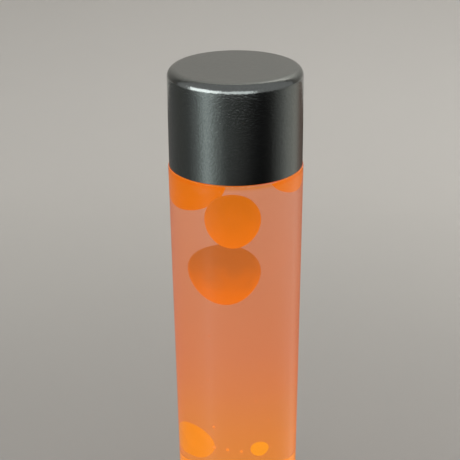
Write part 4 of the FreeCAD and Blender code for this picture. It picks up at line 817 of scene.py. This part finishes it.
# Those that are only mirrored give glossy surfaces their highlights and light nothing else
lamps = {
    "edgeLight": {"place": (-0.75, -0.58, 0.56), "aim": (0, 0, 0.56), "size": (0.95, 0.50), "power": 4.9,
                  "colour": (0.96, 1.0, 1.0), "mirrored": True},
    "frontLight": {"place": (0.06, -0.95, 0.57), "aim": (0, 0, 0.57), "size": (0.98, 0.48), "power": 2.6,
                   "colour": (0.96, 1.0, 1.0), "mirrored": True},
    "overhead": {"place": (-0.2, -0.3, 2.0), "aim": (0.05, 0.1, 0.2), "size": (1.2, 0.8), "power": 10.5},
    "backWash": {"place": (0.8, 0.3, 2.2), "aim": (0.5, 1.15, 0.95), "size": (1.8, 1.0), "power": 44.0},
    "leftWash": {"place": (-1.3, 0.2, 2.3), "aim": (-1.2, 1.15, 1.9), "size": (1.2, 0.8), "power": 8.0},
}


# A soft rectangular lamp at a place, turned to its aim
def makeSoftbox(name, place, aim, size, power, colour=(1, 1, 1), mirrored=False):
    light = bpy.data.lights.new(name, "AREA")
    light.shape = "RECTANGLE"
    light.size, light.size_y = size
    light.energy = power
    light.color = colour
    lamp = bpy.data.objects.new(name, light)
    lamp.location = place
    lamp.rotation_euler = (Vector(aim) - Vector(place)).to_track_quat("-Z", "Y").to_euler()
    lamp.visible_camera = False
    lamp.visible_glossy = mirrored
    lamp.visible_diffuse = not mirrored
    bpy.context.scene.collection.objects.link(lamp)


mirrorCard = {
    "half": 2.4,
    "height": 0.003,
    "riseFrom": 0.6,
    "rise": 0.17,               # slope of its back, which follows the bend of the sweep
    "shades": [                 # degrees round the lamp, level, tint
        (-180, 0.12, (1, 0.9, 0.8)), (-133, 0.150, (1, 1, 0.97)), (-107, 0.125, (1, 1, 0.93)),
        (-84, 0.12, (0.96, 1, 0.96)), (-66, 0.31, (0.92, 1, 0.98)), (-50, 0.92, (0.90, 1, 0.99)),
        (-33, 0.37, (0.92, 1, 0.97)), (-16, 0.11, (0.95, 1, 0.96)), (8, 0.050, (1, 1, 0.94)),
        (28, 0.004, (1, 1, 0.93)), (46, 0.0, (1, 1, 0.9)), (60, 0.02, (1, 1, 0.93)),
        (80, 0.20, (0.98, 1, 0.94)), (95, 0.41, (1, 1, 0.94)), (118, 0.54, (1, 0.97, 0.88)),
        (138, 0.22, (1, 0.72, 0.60)), (165, 0.08, (1, 0.8, 0.65)),
    ],
}


# A glowing card over the floor that only mirror-like surfaces see: z = height + rise max(0, y - riseFrom). Its shade
# follows the turn round the lamp, atan2(x, -y) with -y towards the camera: a bright streak on the left, dark in
# front, pale again on the right
def makeMirrorCard(across=9):
    line = np.linspace(-mirrorCard["half"], mirrorCard["half"], across)
    x, y = np.meshgrid(line, line)
    z = mirrorCard["height"] + mirrorCard["rise"] * np.maximum(0, y - mirrorCard["riseFrom"])
    points = np.stack([x, y, z], -1).reshape(-1, 3)
    finish = Finish("cardShades", specular=0.1, glowStrength=1.0, colour=(0.002, 0.002, 0.002))
    turn = finish.node("ShaderNodeMath", {"operation": "ARCTAN2"}, [finish.along("X"), 0 - finish.along("Y")])
    stops = [((degrees + 180) / 360, tuple(level * part for part in tint))
             for degrees, level, tint in mirrorCard["shades"]]
    finish.set("glow", finish.ramp(turn / (2 * math.pi) + 0.5, stops))
    finish.set("roughness", 0.8 + 0.1 * finish.noise(0.05, 2.0))
    card = newPiece("mirrorCard", points, gridFaces(across, across, closed=False), finish.material)
    card.visible_camera = False
    card.visible_diffuse = False
    card.visible_transmission = False
    card.visible_shadow = False


air = {
    "colour": (0.30, 0.30, 0.30),
    "dim": 0.05,
    "seen": 1.35,
}


# The air: strength = dim + seen (camera ray + mirrored ray), so it lights little, but shows as pale as the wall
def makeAir():
    world = bpy.data.worlds.new("studioAir")
    world.use_nodes = True
    tree = world.node_tree
    background = tree.nodes["Background"]
    background.inputs["Color"].default_value = (*air["colour"], 1.0)
    rays = tree.nodes.new("ShaderNodeLightPath")
    seen = tree.nodes.new("ShaderNodeMath")
    strength = tree.nodes.new("ShaderNodeMath")
    strength.operation = "MULTIPLY_ADD"
    strength.inputs[1].default_value = air["seen"]
    strength.inputs[2].default_value = air["dim"]
    tree.links.new(rays.outputs["Is Camera Ray"], seen.inputs[0])
    tree.links.new(rays.outputs["Is Glossy Ray"], seen.inputs[1])
    tree.links.new(seen.outputs[0], strength.inputs[0])
    tree.links.new(strength.outputs[0], background.inputs["Strength"])
    bpy.context.scene.world = world


makeSweep()
for lampName, lampValues in lamps.items():
    makeSoftbox(lampName, **lampValues)
makeMirrorCard()
makeAir()
bpy.context.scene.view_settings.view_transform = "Standard"
print("studio made")
